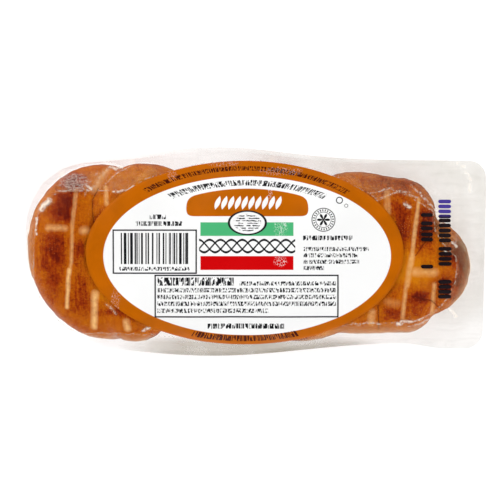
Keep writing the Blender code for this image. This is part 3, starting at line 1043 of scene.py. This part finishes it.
class Wire:
    """A socket of a material's nodes. Sums and the like of values add Math nodes."""

    def __init__(self, tree, socket=None):
        self.tree = tree
        self.socket = socket

    def node(self, kind, settings=None, inputs=None, output=0):
        """Adds a node, its settings first and then its sockets' values or links."""
        made = self.tree.nodes.new(kind)
        for name, value in (settings or {}).items():
            setattr(made, name, value)
        for name, value in (inputs or {}).items():
            if isinstance(value, Wire):
                self.tree.links.new(value.socket, made.inputs[name])
            else:
                made.inputs[name].default_value = value
        return Wire(self.tree, made.outputs[output] if made.outputs else None)

    def maths(self, operation, *values):
        """Adds a Math node on these values."""
        return self.node("ShaderNodeMath", {"operation": operation}, dict(enumerate(values)))

    def vector(self, operation, inputs, output=0):
        """Adds a Vector Math node."""
        return self.node("ShaderNodeVectorMath", {"operation": operation}, inputs, output)

    def __add__(self, other):
        return self.maths("ADD", self, other)

    def __sub__(self, other):
        return self.maths("SUBTRACT", self, other)

    def __rsub__(self, other):
        return self.maths("SUBTRACT", other, self)

    def __mul__(self, other):
        return self.maths("MULTIPLY", self, other)

    def __truediv__(self, other):
        return self.maths("DIVIDE", self, other)

    def __rtruediv__(self, other):
        return self.maths("DIVIDE", other, self)

    def __abs__(self):
        return self.maths("ABSOLUTE", self)

    __radd__ = __add__
    __rmul__ = __mul__


def new_material(name):
    """A material without nodes, and the start of its wires."""
    material = bpy.data.materials.new(name)
    material.use_nodes = True
    material.node_tree.nodes.clear()
    return material, Wire(material.node_tree)


def surfaced(start, inputs):
    """Ends a material with one Principled surface."""
    surface = start.node("ShaderNodeBsdfPrincipled", {}, inputs)
    start.node("ShaderNodeOutputMaterial", {}, {"Surface": surface})


def above(value, limit, soft=0.12):
    """1 where the value is over the limit and 0 where it is under, with a soft edge."""
    settings = {"operation": "MULTIPLY_ADD", "use_clamp": True}
    return value.node("ShaderNodeMath", settings, {0: value, 1: 1.0 / soft, 2: 0.5 - limit / soft})


def below(value, limit, soft=0.12):
    """1 where the value is under the limit and 0 where it is over, with a soft edge."""
    settings = {"operation": "MULTIPLY_ADD", "use_clamp": True}
    return value.node("ShaderNodeMath", settings, {0: value, 1: -1.0 / soft, 2: 0.5 + limit / soft})


def between(value, low, high, soft=0.12):
    """1 where the value is between the limits and 0 elsewhere, with soft edges."""
    return below(abs(value - (low + high) / 2.0), (high - low) / 2.0, soft)


def sine(turn):
    """The sine of a turn in radians."""
    return turn.maths("SINE", turn)


def zigzag(value):
    """How far a value is from the nearest half: 0 there and 0.5 at each whole number."""
    return abs(value.maths("FRACT", value) - 0.5)


def mixed(factor, under, over):
    """The colour under, covered by the colour over as far as the factor says."""
    colours = {
        name: value if isinstance(value, Wire) else (*value, 1.0)
        for name, value in ((6, under), (7, over))
    }
    return factor.node("ShaderNodeMix", {"data_type": "RGBA"}, {0: factor, **colours}, output=2)


def noise(place, scale, detail=2.0, roughness=0.5):
    """An uneven value round 0.5."""
    inputs = {"Vector": place, "Scale": scale, "Detail": detail, "Roughness": roughness}
    return place.node("ShaderNodeTexNoise", {}, inputs)


def xy_of(place):
    """The x and the y of coordinates."""
    return [place.node("ShaderNodeSeparateXYZ", {}, {0: place}, output=axis) for axis in (0, 1)]


def place_in_mm(start):
    """The object's own coordinates in millimetres: whole, their plan alone, and x and y."""
    place = start.node("ShaderNodeTexCoord", output=3)
    place = place.vector("SCALE", {0: place, "Scale": 1.0 / MM})
    return place, stretched(place, 1.0, 1.0, 0.0), *xy_of(place)


def stretched(place, *scale):
    """Coordinates scaled apart along x, y and z, for grain that runs one way."""
    return place.vector("MULTIPLY", {0: place, 1: scale})


def nudged(plan, scale, most_mm):
    """Coordinates shifted unevenly by up to about this many mm, so that lines run less straight."""
    shift = plan.node("ShaderNodeTexNoise", {}, {"Vector": plan, "Scale": scale, "Detail": 3.0}, output=1)
    inputs = {0: shift, 1: (2.0 * most_mm, 2.0 * most_mm, 0.0), 2: (-most_mm, -most_mm, 0.0)}
    return plan.vector("ADD", {0: plan, 1: plan.vector("MULTIPLY_ADD", inputs)})


def off_line(plan, points):
    """How far, in mm, each place of the plan is from a line of straight runs."""
    nearest = None
    for (x0, y0), (x1, y1) in zip(points, points[1:]):
        run = (x1 - x0, y1 - y0, 0.0)
        span = run[0] ** 2 + run[1] ** 2
        offset = plan.vector("SUBTRACT", {0: plan, 1: (x0, y0, 0.0)})
        along = {0: offset, 1: (run[0] / span, run[1] / span, 0.0)}
        along = plan.vector("DOT_PRODUCT", along, output=1)
        along = plan.node("ShaderNodeMath", {"operation": "ADD", "use_clamp": True}, {0: along, 1: 0.0})
        foot = plan.vector("SCALE", {0: run, "Scale": along})
        away = plan.vector("DISTANCE", {0: offset, 1: foot}, output=1)
        nearest = away if nearest is None else nearest.maths("MINIMUM", nearest, away)
    return nearest


def strongest(masks):
    """The strongest of several masks."""
    return functools.reduce(lambda one, other: one.maths("MAXIMUM", one, other), masks)


def reach(place, centre, half):
    """0 at an oval's middle and 1 on its edge."""
    scale, shift = (1.0 / half[0], 1.0 / half[1], 0.0), (-centre[0] / half[0], -centre[1] / half[1], 0.0)
    share = place.vector("MULTIPLY_ADD", {0: place, 1: scale, 2: shift})
    return share.vector("LENGTH", {0: share}, output=1)


def noted(start, name):
    """A number that the mesh keeps for each of its points."""
    return start.node("ShaderNodeAttribute", {"attribute_name": name}, output=2)


def bumped(height, strength, distance):
    """A normal that leans with this height."""
    inputs = {"Height": height, "Strength": strength, "Distance": distance}
    return height.node("ShaderNodeBump", {}, inputs)


def rack_mark_mask(crooked):
    """Pale lines on the upper side, some browner in their middle, where the wire lay longest."""
    marks = []
    for half_width, strength, browner, points in RACK_MARKS:
        away = off_line(crooked, points)
        line = below(away, half_width * 0.9, half_width * 1.5)
        if browner:
            line = line * (1.0 - below(away, half_width * 0.2, half_width * 0.7) * browner)
        marks.append(line * strength)
    return strongest(marks)


def wire_mask(x, y, wobble):
    """Pale lines across the underside, one for each wire."""
    turned = (x + y * WIRE_SLANT - UNDER_WIRES[0]) / WIRE_PITCH
    away = zigzag(turned + 0.5) * WIRE_PITCH
    return below(away + (wobble - 0.5) * 0.8, WIRE_HALF_WIDTH, 0.8)


def cheese_finish(settings):
    """Smoked skin: blotched orange, dark smoke patches with flecks, pale rack marks, fine wrinkles.

    Painted shade darkens the hollows, the seams and the steep sides.
    """
    material, start = new_material("smoked_skin")
    place, plan, x, y = place_in_mm(start)
    crooked = nudged(plan, 0.25, 0.5)
    upper_side = noted(start, "upper_side")

    # The smoke's level, with painted shade added in the hollows, steps from light to deep, red and
    # dark skin, with grain along the fibres.
    grain = noise(place, 1.1, 4.0, 0.7)
    fibres = noise(stretched(place, 1.5, 0.14, 0.8), 1.0, 2.0, 0.6)
    smoke = noted(start, "smoke") + (noise(place, 0.22, 5.0, 0.6) - 0.5) * 1.5
    level = smoke + (grain - 0.5) * 1.4 + (fibres - 0.5) * 1.1 + noted(start, "hollow_shade") * 0.3
    colour = settings.light_skin
    deeper = (settings.deep_skin, settings.red_skin, settings.dark_skin_and_shade)
    for (limit, soft), skin in zip(SKIN_STEPS, deeper):
        colour = mixed(above(level, limit, soft), colour, skin)
    specks = above(noise(place, 1.5, 2.0, 0.6), 0.58, 0.1) * above(smoke, 0.05, 0.8)
    colour = mixed(specks * 0.55, colour, settings.dark_skin_and_shade)
    # Painted shade: the steep sides and the underside are darkened towards the dark skin colour.
    colour = mixed(below(upper_side, 0.5, 0.8) * 0.45, colour, settings.dark_skin_and_shade)

    uneven = 0.1 + noise(place, 0.5, 4.0, 0.6) * 1.6
    under_marks = wire_mask(x, y, noise(place, 0.6, 2.0)) * below(upper_side, 0.1) * 0.6
    marks = strongest((rack_mark_mask(crooked) * upper_side, under_marks)) * uneven
    colour = mixed(marks, colour, settings.mark_colour)
    # Painted shade: thin dark lines along the seams.
    seam = strongest(below(off_line(crooked, points), 0.2, 0.35) for points in SEAM_LINES)
    colour = mixed(seam * upper_side * uneven * 0.8, colour, settings.seam_shade_colour)

    height = noise(place, 0.9, 4.0, 0.55) + noise(place, 4.0, 2.0, 0.5) * 0.15
    surfaced(start, {
        "Base Color": colour,
        "Roughness": settings.roughness,
        "Normal": bumped(height, 0.5, 0.35 * MM),
        "Specular IOR Level": 0.05,
        "Subsurface Weight": 0.1,
        "Subsurface Radius": (0.6 * MM, 0.3 * MM, 0.12 * MM),
        "Subsurface Scale": 1.0,
    })
    return material


def crushed_mask(plan, crooked, uneven):
    """The patch of crushed film, and the thin lines between its facets."""
    cx, cy, half_x, half_y = CRUMPLED_PATCH
    away = reach(crooked, (cx, cy), (half_x * 1.1, half_y * 1.1))
    facets = (noise(stretched(plan, *scale, 0.0), 1.0, 2.0, 0.6) for scale in CRUSH_GRAINS)
    lines = strongest(below(abs(facet - 0.5), 0.02, 0.05) for facet in facets)
    return below(away + (uneven - 0.5) * 0.8, 0.9, 0.4), lines


def film_finish(settings):
    """Clear film: faintly milky where it stands off the cheese, glossy, streaked with creases.

    Its white lines are partly milky creases and partly painted glints.
    """
    material, start = new_material("clear_film")
    place, plan, x, y = place_in_mm(start)
    crooked = nudged(plan, 0.4, 0.6)
    uneven = noise(place, 0.5, 3.0, 0.6)
    # Where the film is off the cheese, and where the two films are all that is there
    loose = noted(start, "loose") + (uneven - 0.5) * 1.4
    off = above(loose, 0.3, 0.7)
    skirt = above(noted(start, "gap"), 4.5, 3.0)

    # Creases that run along the skirt and a few across it, and others that follow the cheese
    combed = noise(stretched(crooked, 0.07, 0.5, 0.5), 1.0, 4.0, 0.6)
    across = noise(stretched(crooked, 0.4, 0.12, 0.5), 1.0, 3.0, 0.6)
    skirt_streaks = strongest((above(combed, 0.6, 0.2), above(across, 0.64, 0.2) * 0.7)) * skirt
    beside = start.node("ShaderNodeCombineXYZ", {}, {0: x * 0.12, 1: y * 0.12, 2: loose * 0.9})
    streaks = above(noise(beside, 1.0, 4.0, 0.65), 0.53, 0.2) * off * (1.0 - skirt)

    # White lines, partly milky creases and partly painted glints: the ridge where the film lets go, its
    # folds, and the crushed patch
    broken = above(noise(place, 0.9, 3.0, 0.6), 0.47, 0.2)
    ridge = between(loose, -0.25, 0.3, 0.35) * broken
    folds = noted(start, "fold") * (0.35 + broken * 0.65)
    patch, lines = crushed_mask(plan, crooked, uneven)
    white = strongest((ridge * 0.3, folds, patch * (0.14 + lines * 0.5))) * noted(start, "upper_sheet")

    # Haze: towards the tab and in the near side's middle, where the film spans a gap, and where
    # it falls steeply, there partly a painted reflection of the bright surroundings
    near_middle = below(y, HAZY_SIDE_Y, 3.0) * between(x, *HAZY_SIDE_X, 24.0)
    to_tab = above(x, 10.0, 110.0) * (1.0 - below(y, -22.0, 12.0) * 0.6)
    thick = strongest((to_tab, near_middle * 2.0)) * skirt
    thick = thick * settings.tab_haze * (0.4 + noise(place, 0.07, 2.0) * 1.2)
    veil = 1.0 + near_middle * 0.3 - above(x, 48.0, 20.0) * 0.5
    spans = off * (1.0 - skirt * 0.8) * settings.loose_haze * (0.6 + uneven * 0.8) * veil
    # Painted reflection: steep film is made milkier, as if it mirrored the bright surroundings.
    walls = noted(start, "steep") * above(loose, 2.5, 4.5) * (1.0 - skirt * 0.85)
    walls = walls * settings.wall_haze_and_sheen * (0.5 + uneven)
    haze = spans + walls + settings.touching_haze + thick
    haze = strongest((haze + streaks * 0.07 + skirt_streaks * settings.crease_haze, white))

    tint = mixed(skirt, settings.tint, settings.skirt_tint)
    # Painted glints and milky creases take the pale crease colour.
    tint = mixed(above(white, 0.2, 0.2), tint, settings.crease_and_glint_tint)
    tint = mixed(patch * (1.0 - lines) * 0.8, tint, settings.crush_tint)
    # Seen at a grazing angle the film mirrors more. The share of the surface that is a mirror
    # goes in as Metallic, with white for its colour.
    facing = start.node("ShaderNodeLayerWeight", {}, {"Blend": 0.5}, output=1)
    grazing = facing.maths("POWER", facing, 5.0) * 0.6
    factor = haze + grazing + settings.mirror
    height = off * uneven + streaks * 0.5 + skirt_streaks * 0.5 + white * 1.5
    surface = start.node("ShaderNodeBsdfPrincipled", {}, {
        "Base Color": mixed(grazing / factor, tint, (1.0, 1.0, 1.0)),
        "Metallic": (grazing + settings.mirror) / factor,
        "Roughness": settings.roughness,
        "Normal": bumped(height, 0.5, 0.3 * MM),
    })
    clear = start.node("ShaderNodeBsdfTransparent")
    surface = start.node("ShaderNodeMixShader", {}, {0: factor, 1: clear, 2: surface})
    start.node("ShaderNodeOutputMaterial", {}, {"Surface": surface})
    return material


# The label's print, in millimetres from the pack's origin: the white oval and the border's rim
WHITE_CENTRE = (-3.27, -1.44)
WHITE_HALF = (53.15, 29.39)
RIM_CENTRE = (-4.17, -0.30)
RIM_HALF = (58.8, 34.1)
# The banner: from x, to x, the height of its foot, and how far out in the white oval its arch is
BANNER = (-25.2, 18.8, 13.8, 0.825)
# The row of slanted leaves on it: from x, to x, middle height, half height and pitch
LEAVES = (-15.4, 9.6, 18.2, 2.5, 2.5)
# The two bars of colour under it: from x, to x, and from y, to y of each
BAR_ENDS = (-20.5, 13.84)
GREEN_BAR = (5.95, 10.97)
RED_BAR = (-6.62, -1.49)
# The plait between the bars: middle height, swing, turn in radians a mm and half width of a line
PLAIT = (2.2, 2.3, 0.52, 0.42)
PLAIT_ENDS = (-21.0, 14.5)
BADGE_CENTRE = (-3.16, 10.79)
BADGE_HALF = (7.1, 4.5)
# Boxes: from x, to x, from y, to y
CODE_BOX = (-52.7, -22.06, -7.81, 8.07)
CODE_BARS = (-49.9, -24.8, -4.46, 7.07)
# A bar stands there wherever three waves, each so many radians a mm, add up to enough.
CODE_WAVES = (3.1, 4.9, 7.7)
FACTS_BOX = (-37.2, 30.3, -23.96, -8.63)
BOX_LINE = 0.27
# Where the print is worn, and along the top of the border where its pale cracks also paint glints
# on the creased sticker: middle and half size
WORN_AND_GLINT_PLACES = (
    (9.3, 9.0, 2.6, 3.2),
    (9.2, -3.4, 2.5, 2.3),
    (5.2, 21.6, 0.9, 2.8),
    (-31.0, 29.0, 1.8, 3.0),
    (9.6, 29.8, 8.0, 1.6),
    (-12.0, 32.6, 6.0, 1.0),
    (-51.8, -17.6, 1.8, 3.8),
)
# Lines of small print, drawn as plain strokes: from x, to x, middle height, and how tall
FINE_LINES = (
    (-6.0, 29.6, -11.6, 1.5),
    (-36.4, 29.6, -14.1, 1.6),
    (-36.4, 29.6, -16.6, 1.6),
    (-36.4, 29.6, -19.1, 1.6),
    (-36.4, 4.5, -21.7, 1.6),
    (17.6, 41.7, 1.1, 1.5),
    (17.6, 37.8, -1.2, 1.5),
    (17.6, 38.1, -3.6, 1.5),
    (17.6, 25.1, -5.9, 1.5),
    (-50.5, -24.5, -6.2, 1.4),
)
BOLD_LINES = (
    (-36.4, -8.2, -10.9, 3.0),
    (17.4, 35.6, 5.2, 1.7),
    (-39.2, -33.3, 13.0, 1.7),
    (-44.3, -27.3, 10.5, 1.7),
    (-18.0, 10.5, -27.4, 1.9),
)
# Lines of it that follow an oval: its middle and half size, from and to how far out, 1 for its
# far side or -1 for its near side, from and to how far along, and the strokes' seed, number a mm
# and limit
WHITE_ARC = (WHITE_CENTRE, WHITE_HALF, 0.885, 0.955, 1.0, (-33.0, 33.5), (2.0, 1.4, 0.43))
RIM_ARCS = (
    (RIM_CENTRE, RIM_HALF, 0.893, 0.942, 1.0, (-44.0, 46.0), (5.0, 1.7, 0.43)),
    (RIM_CENTRE, RIM_HALF, 0.90, 0.965, -1.0, (-21.0, 21.5), (9.0, 1.0, 0.38)),
)
# The seal and the small rings: x, y and radius
SEAL = (24.9, 11.9, 4.4)
SMALL_RINGS = ((30.8, 19.1, 1.3), (33.3, 17.1, 0.7))
# The ink at the tab turns violet beyond this x and y, where only clear film is behind it
CLEAR_CORNER = (66.5, 13.6)


def box(x, y, low_x, high_x, low_y, high_y):
    """1 inside a box and 0 outside."""
    return between(x, low_x, high_x) * between(y, low_y, high_y)


def frame_of(x, y, sides, line):
    """The drawn outline of a box."""
    low_x, high_x, low_y, high_y = sides
    outer = box(x, y, low_x - line, high_x + line, low_y - line, high_y + line)
    return outer * (1.0 - box(x, y, low_x + line, high_x - line, low_y + line, high_y - line))


def strokes_along(along, across, seed, density, limit):
    """Short strokes of uneven width with a gap here and there, in place of a line of print."""
    stroke = {0: along * density + seed * 7.3, 1: across * (density * 0.5)}
    stroke = along.node("ShaderNodeCombineXYZ", {}, stroke)
    inputs = {"Vector": stroke, "Scale": 1.0, "Detail": 1.0}
    stroke = above(along.node("ShaderNodeTexNoise", {"noise_dimensions": "2D"}, inputs), limit, 0.08)
    inputs = {"W": along * 0.42 + seed * 3.1, "Detail": 0.0}
    word = above(along.node("ShaderNodeTexNoise", {"noise_dimensions": "1D"}, inputs), 0.4, 0.02)
    return stroke * word


def straight_print(x, y):
    """All the straight lines of small print."""
    masks = []
    for lines, density, limit in ((FINE_LINES, 1.9, 0.46), (BOLD_LINES, 1.1, 0.4)):
        for low_x, high_x, middle, tall in lines:
            row = box(x, y, low_x, high_x, middle - tall / 2.0, middle + tall / 2.0)
            masks.append(row * strokes_along(x, y, middle, density, limit))
    return strongest(masks)


def curved_print(place, centre, half, low, high, side, ends, strokes):
    """One line of small print that runs along an oval's edge."""
    turned = xy_of(place.vector("MULTIPLY_ADD", {
        0: place,
        1: (1.0 / half[0], side / half[1], 0.0),
        2: (-centre[0] / half[0], -side * centre[1] / half[1], 0.0),
    }))
    along = place.maths("ARCTAN2", *turned) * half[0]
    out = reach(place, centre, half)
    band = between(out, low, high, 0.006) * between(along, *ends)
    return strokes_along(along, out * half[1], *strokes) * band


def banner_mask(place, x, y):
    """The banner, with an arched top, a straight foot and rounded corners."""
    low_x, high_x, foot, arch = BANNER
    over_arch = (reach(place, WHITE_CENTRE, WHITE_HALF) - arch) * WHITE_HALF[1]
    past_ends = abs(x - (low_x + high_x) / 2.0) - (high_x - low_x) / 2.0
    outside = x.maths("SMOOTH_MAX", over_arch, past_ends, 5.0)
    outside = x.maths("SMOOTH_MAX", outside, foot - y, 4.0)
    return below(outside, 0.6)


def leaf_mask(x, y):
    """The row of slanted leaves on the banner."""
    low_x, high_x, middle, half_height, pitch = LEAVES
    turned = (x - low_x - (y - middle) * 0.35) / pitch
    up = (y - middle) / half_height
    leaf = below(zigzag(turned) * pitch - (1.0 - up * up) * 0.95, 0.0)
    return leaf * between(turned, 0.0, (high_x - low_x) / pitch, 0.02)


def plait_mask(x, y):
    """A plait of three thin lines between the two bars."""
    middle, swing, turn, half_width = PLAIT
    lines = (sine(x * turn + third * 2.0 * math.pi / 3.0) * swing for third in range(3))
    return strongest(below(abs(y - middle - line), half_width) for line in lines) * between(x, *PLAIT_ENDS)


def badge_mask(place, y, rim, wobble):
    """The badge's outline and a few uneven lines in it."""
    hatch = above(sine(y * 7.0 + wobble * 5.0), 0.2, 0.5)
    fill = hatch * below(rim, 0.72, 0.05) * above(noise(place, 0.6), 0.47, 0.03)
    return strongest((between(rim, 0.9, 1.02, 0.03), fill))


def code_bar_mask(x, y):
    """Upright bars of uneven width and pitch."""
    waves = sum(sine(x * turn) for turn in CODE_WAVES)
    return above(waves, 0.05, 0.3) * box(x, y, *CODE_BARS)


def seal_mask(place, x, y):
    """A round seal of rings, ticks and petals, and the small rings beside the banner."""
    seal_x, seal_y, radius = SEAL
    out = reach(place, (seal_x, seal_y), (radius, radius))
    turn = (y - seal_y).maths("ARCTAN2", y - seal_y, x - seal_x)
    petal = below(out - abs(sine(turn * 3.0 + math.pi / 2.0)) * 0.55, 0.0, 0.05)
    ticks = above(sine(turn * 24.0), 0.2, 0.4) * between(out, 0.72, 0.88, 0.03)
    masks = [between(out, 0.93, 1.0, 0.03), between(out, 0.62, 0.67, 0.03), petal, ticks]
    for ring_x, ring_y, radius in SMALL_RINGS:
        out = reach(place, (ring_x, ring_y), (radius, radius))
        masks.append(between(out, 0.72, 1.0, 0.08))
    return strongest(masks)


def crack_and_glint_mask(place, wobble):
    """Fine cracks in the print where the film under it has creased.

    Along the top of the border they also paint glints on the creased sticker.
    """
    inputs = {"Vector": place, "Scale": 1.1}
    cells = place.node("ShaderNodeTexVoronoi", {"feature": "DISTANCE_TO_EDGE"}, inputs)
    worn_and_glinting = strongest(
        below(reach(place, (cx, cy), (half_x, half_y)) + (wobble - 0.5) * 1.2, 0.9, 0.4)
        for cx, cy, half_x, half_y in WORN_AND_GLINT_PLACES
    )
    return below(cells + (wobble - 0.5) * 0.1, 0.035, 0.05) * worn_and_glinting


def label_finish(settings):
    """Glossy coated paper: orange brown border, white oval, plain bars, boxes and strokes of print."""
    material, start = new_material("printed_label")
    place, _, x, y = place_in_mm(start)
    wobble = noise(place, 0.9, 2.0)

    light_border = tuple(min(1.0, 1.14 * channel) for channel in settings.border)
    border = mixed(above(noise(place, 0.12, 3.0), 0.5, 0.3), settings.border, light_border)
    white = below(reach(place, WHITE_CENTRE, WHITE_HALF), 1.0, 0.004)
    rim = reach(place, BADGE_CENTRE, BADGE_HALF)
    colour = mixed(white, border, settings.paper)
    for mask, over in (
        (banner_mask(place, x, y), border),
        (leaf_mask(x, y), settings.paper),
        (box(x, y, *BAR_ENDS, *GREEN_BAR), settings.green),
        (box(x, y, *BAR_ENDS, *RED_BAR), settings.red),
        (below(rim, 1.0, 0.03), settings.paper),
    ):
        colour = mixed(mask, colour, over)

    black = [frame_of(x, y, sides, BOX_LINE) for sides in (CODE_BOX, FACTS_BOX)]
    black += [plait_mask(x, y), badge_mask(place, y, rim, wobble), code_bar_mask(x, y)]
    black += [straight_print(x, y), seal_mask(place, x, y), curved_print(place, *WHITE_ARC)]
    colour = mixed(strongest(black), colour, settings.ink)
    brown = strongest(curved_print(place, *arc) for arc in RIM_ARCS)
    colour = mixed(brown, colour, settings.brown_ink)

    # Pale cracks, which along the top of the border are partly painted glints
    cracks_and_glints = crack_and_glint_mask(place, wobble)
    height = noise(place, 0.25, 3.0) + cracks_and_glints * 0.3
    surfaced(start, {
        "Base Color": mixed(cracks_and_glints * (0.3 + white * 0.45), colour, settings.paper),
        "Roughness": 0.36 + wobble * 0.1,
        "Normal": bumped(height, 0.4, 0.3 * MM),
        "Specular IOR Level": 0.04,
    })
    return material


def ink_finish(settings):
    """Stamped ink: black over the cheese, violet where light comes through the tab."""
    material, start = new_material("stamped_ink")
    place, _, x, y = place_in_mm(start)
    over_tab = above(x, CLEAR_CORNER[0], 1.0) * above(y, CLEAR_CORNER[1], 2.0)
    surfaced(start, {
        "Base Color": mixed(over_tab, settings.over_cheese, settings.over_tab),
        "Roughness": 0.6,
        "Specular IOR Level": 0.1,
        "Normal": bumped(noise(place, 1.6, 3.0), 0.3, 0.1 * MM),
    })
    return material


def floor_finish(settings):
    """The plain pale floor."""
    material, start = new_material("pale_floor")
    place, *_ = place_in_mm(start)
    surfaced(start, {
        "Base Color": (*settings.floor, 1.0),
        "Roughness": 0.9,
        "Specular IOR Level": 0.1,
        "Emission Color": (1.0, 1.0, 1.0, 1.0),
        "Emission Strength": settings.floor_glow,
        "Normal": bumped(noise(place, 0.02), 0.02, 1.0 * MM),
    })
    return material


# The stage

# What the camera sees, in mm: the middle of its view, how wide it is, and at what height
VIEW_CENTRE = (-2.2, 0.75)
VIEW_WIDTH = 186.0
VIEW_LEVEL = 18.0
SENSOR = 36.0
# The floor, in metres: how far it reaches, how far under the pack it lies, from and to where it
# curves up, and how far
FLOOR_REACH = 4.0
FLOOR_DROP = 0.00005
FLOOR_CURVE = (3.0, 4.0)
FLOOR_RISE = 0.6
# Lights: name, place and size in metres, and share of the soft and of the glint power
LIGHTS = (
    ("soft_left", (-1.0, 0.9, 1.5), 2.2, 1.0, 0.0),
    ("soft_right", (1.0, -0.9, 1.5), 2.2, 0.8, 0.0),
    ("glint_left", (-1.2, 1.0, 0.62), 0.055, 0.0, 1.0),
    ("glint_right", (0.9, 1.0, 1.0), 0.04, 0.0, 0.5),
    ("glint_near", (0.5, -1.2, 0.85), 0.04, 0.0, 0.5),
)
# The wall of light: the sine of the height at which it ends, how soft that edge is, and how
# bright the sky is over it
SKY_EDGE = 0.7
SKY_BLUR = 0.3
SKY_TOP = 0.02


def make_floor(settings):
    """A wide sheet that curves up gently at its far edges, just under the pack."""
    along = np.linspace(-1.0, 1.0, FLOOR_POINTS) * FLOOR_REACH
    x, y = np.meshgrid(along, along, indexing="ij")
    z = -FLOOR_DROP + FLOOR_RISE * smooth_step(*FLOOR_CURVE, np.hypot(x, y))
    points = np.stack([x, y, z], axis=-1).reshape(-1, 3) / MM
    faces = quads_of(np.arange(x.size).reshape(x.shape)).tolist()
    return new_piece("floor", points, faces, floor_finish(settings))


def make_lights(settings):
    """Large soft lights, tiny bright ones for the film's glints, and a pale wall of light round them."""
    for name, place, size, soft_share, glint_share in LIGHTS:
        light = bpy.data.lights.new(name, "AREA")
        light.shape = "DISK"
        light.size = size
        light.energy = settings.soft_power * soft_share + settings.glint_power * glint_share
        lamp = linked(name, light)
        lamp.location = place
        lamp.rotation_euler = (-lamp.location).to_track_quat("-Z", "Y").to_euler()
    world = bpy.data.worlds.new("studio")
    world.use_nodes = True
    world.node_tree.nodes.clear()
    start = Wire(world.node_tree)
    direction = start.node("ShaderNodeTexCoord", output=0)
    height = start.node("ShaderNodeSeparateXYZ", {}, {0: direction}, output=2)
    strength = below(height, SKY_EDGE, SKY_BLUR) * settings.sky + SKY_TOP
    sky = start.node("ShaderNodeBackground", {}, {"Color": (1.0, 1.0, 1.0, 1.0), "Strength": strength})
    start.node("ShaderNodeOutputWorld", {}, {"Surface": sky})
    bpy.context.scene.world = world


def make_camera(settings):
    """A long lens that looks straight down on the pack."""
    camera = bpy.data.cameras.new("camera")
    camera.sensor_width = SENSOR
    distance = settings.camera_height - VIEW_LEVEL * MM
    camera.lens = SENSOR * distance / (VIEW_WIDTH * MM)
    camera.clip_end = 50.0
    holder = linked("camera", camera)
    holder.location = (VIEW_CENTRE[0] * MM, VIEW_CENTRE[1] * MM, settings.camera_height)
    bpy.context.scene.camera = holder


# The add-on


class CHEESE_OT_braid(Operator):
    """Make the smoked braid"""

    bl_idname = "cheese.braid"
    bl_label = "Braid"

    def execute(self, context):
        braid = make_braid(context.scene.cheese_braid)
        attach(braid, "root")
        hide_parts("pack")
        return {"FINISHED"}


class CHEESE_OT_pouch(Operator):
    """Make the clear vacuum pouch round the braid"""

    bl_idname = "cheese.pouch"
    bl_label = "Pouch"

    def execute(self, context):
        film = make_film(context.scene.cheese_pouch)
        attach(film, "root")
        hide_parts("pack")
        return {"FINISHED"}


class CHEESE_OT_label(Operator):
    """Make the printed label on the pouch"""

    bl_idname = "cheese.label"
    bl_label = "Label"

    def execute(self, context):
        label = make_label(context.scene.cheese_label)
        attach(label, "root")
        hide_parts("label")
        return {"FINISHED"}


class CHEESE_OT_code_marks(Operator):
    """Stamp the ink bars across the film"""

    bl_idname = "cheese.code_marks"
    bl_label = "Code marks"

    def execute(self, context):
        marks = make_code_marks(context.scene.cheese_code, context.scene.cheese_pouch.wrinkles)
        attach(marks, "root")
        return {"FINISHED"}


class CHEESE_OT_stage(Operator):
    """Set the floor, the lights and the camera"""

    bl_idname = "cheese.stage"
    bl_label = "Stage"

    def execute(self, context):
        settings = context.scene.cheese_stage
        make_floor(settings)
        make_lights(settings)
        make_camera(settings)
        context.scene.view_settings.view_transform = "Standard"
        return {"FINISHED"}


STEPS = (CHEESE_OT_braid, CHEESE_OT_pouch, CHEESE_OT_label, CHEESE_OT_code_marks, CHEESE_OT_stage)
SETTINGS = {
    "cheese_braid": BraidSettings,
    "cheese_pouch": PouchSettings,
    "cheese_label": LabelSettings,
    "cheese_code": CodeSettings,
    "cheese_stage": StageSettings,
}


class CHEESE_PT_panel(Panel):
    """The steps, each with its sizes and colours"""

    bl_idname = "CHEESE_PT_panel"
    bl_label = "Smoked braid"
    bl_space_type = "VIEW_3D"
    bl_region_type = "UI"
    bl_category = "Cheese"

    def draw(self, context):
        for step, (name, group) in zip(STEPS, SETTINGS.items()):
            column = self.layout.box().column()
            column.operator(step.bl_idname)
            for setting in group.__annotations__:
                column.prop(getattr(context.scene, name), setting)


def register():
    for group in SETTINGS.values():
        bpy.utils.register_class(group)
    for name, group in SETTINGS.items():
        setattr(bpy.types.Scene, name, PointerProperty(type=group))
    for step in STEPS:
        bpy.utils.register_class(step)
    bpy.utils.register_class(CHEESE_PT_panel)


def unregister():
    bpy.utils.unregister_class(CHEESE_PT_panel)
    for step in reversed(STEPS):
        bpy.utils.unregister_class(step)
    for name in SETTINGS:
        delattr(bpy.types.Scene, name)
    for group in reversed(SETTINGS.values()):
        bpy.utils.unregister_class(group)


def main():
    """Makes every piece in order."""
    register()
    bpy.ops.cheese.braid()
    bpy.ops.cheese.pouch()
    bpy.ops.cheese.label()
    bpy.ops.cheese.code_marks()
    bpy.ops.cheese.stage()


if __name__ == "__main__":
    main()
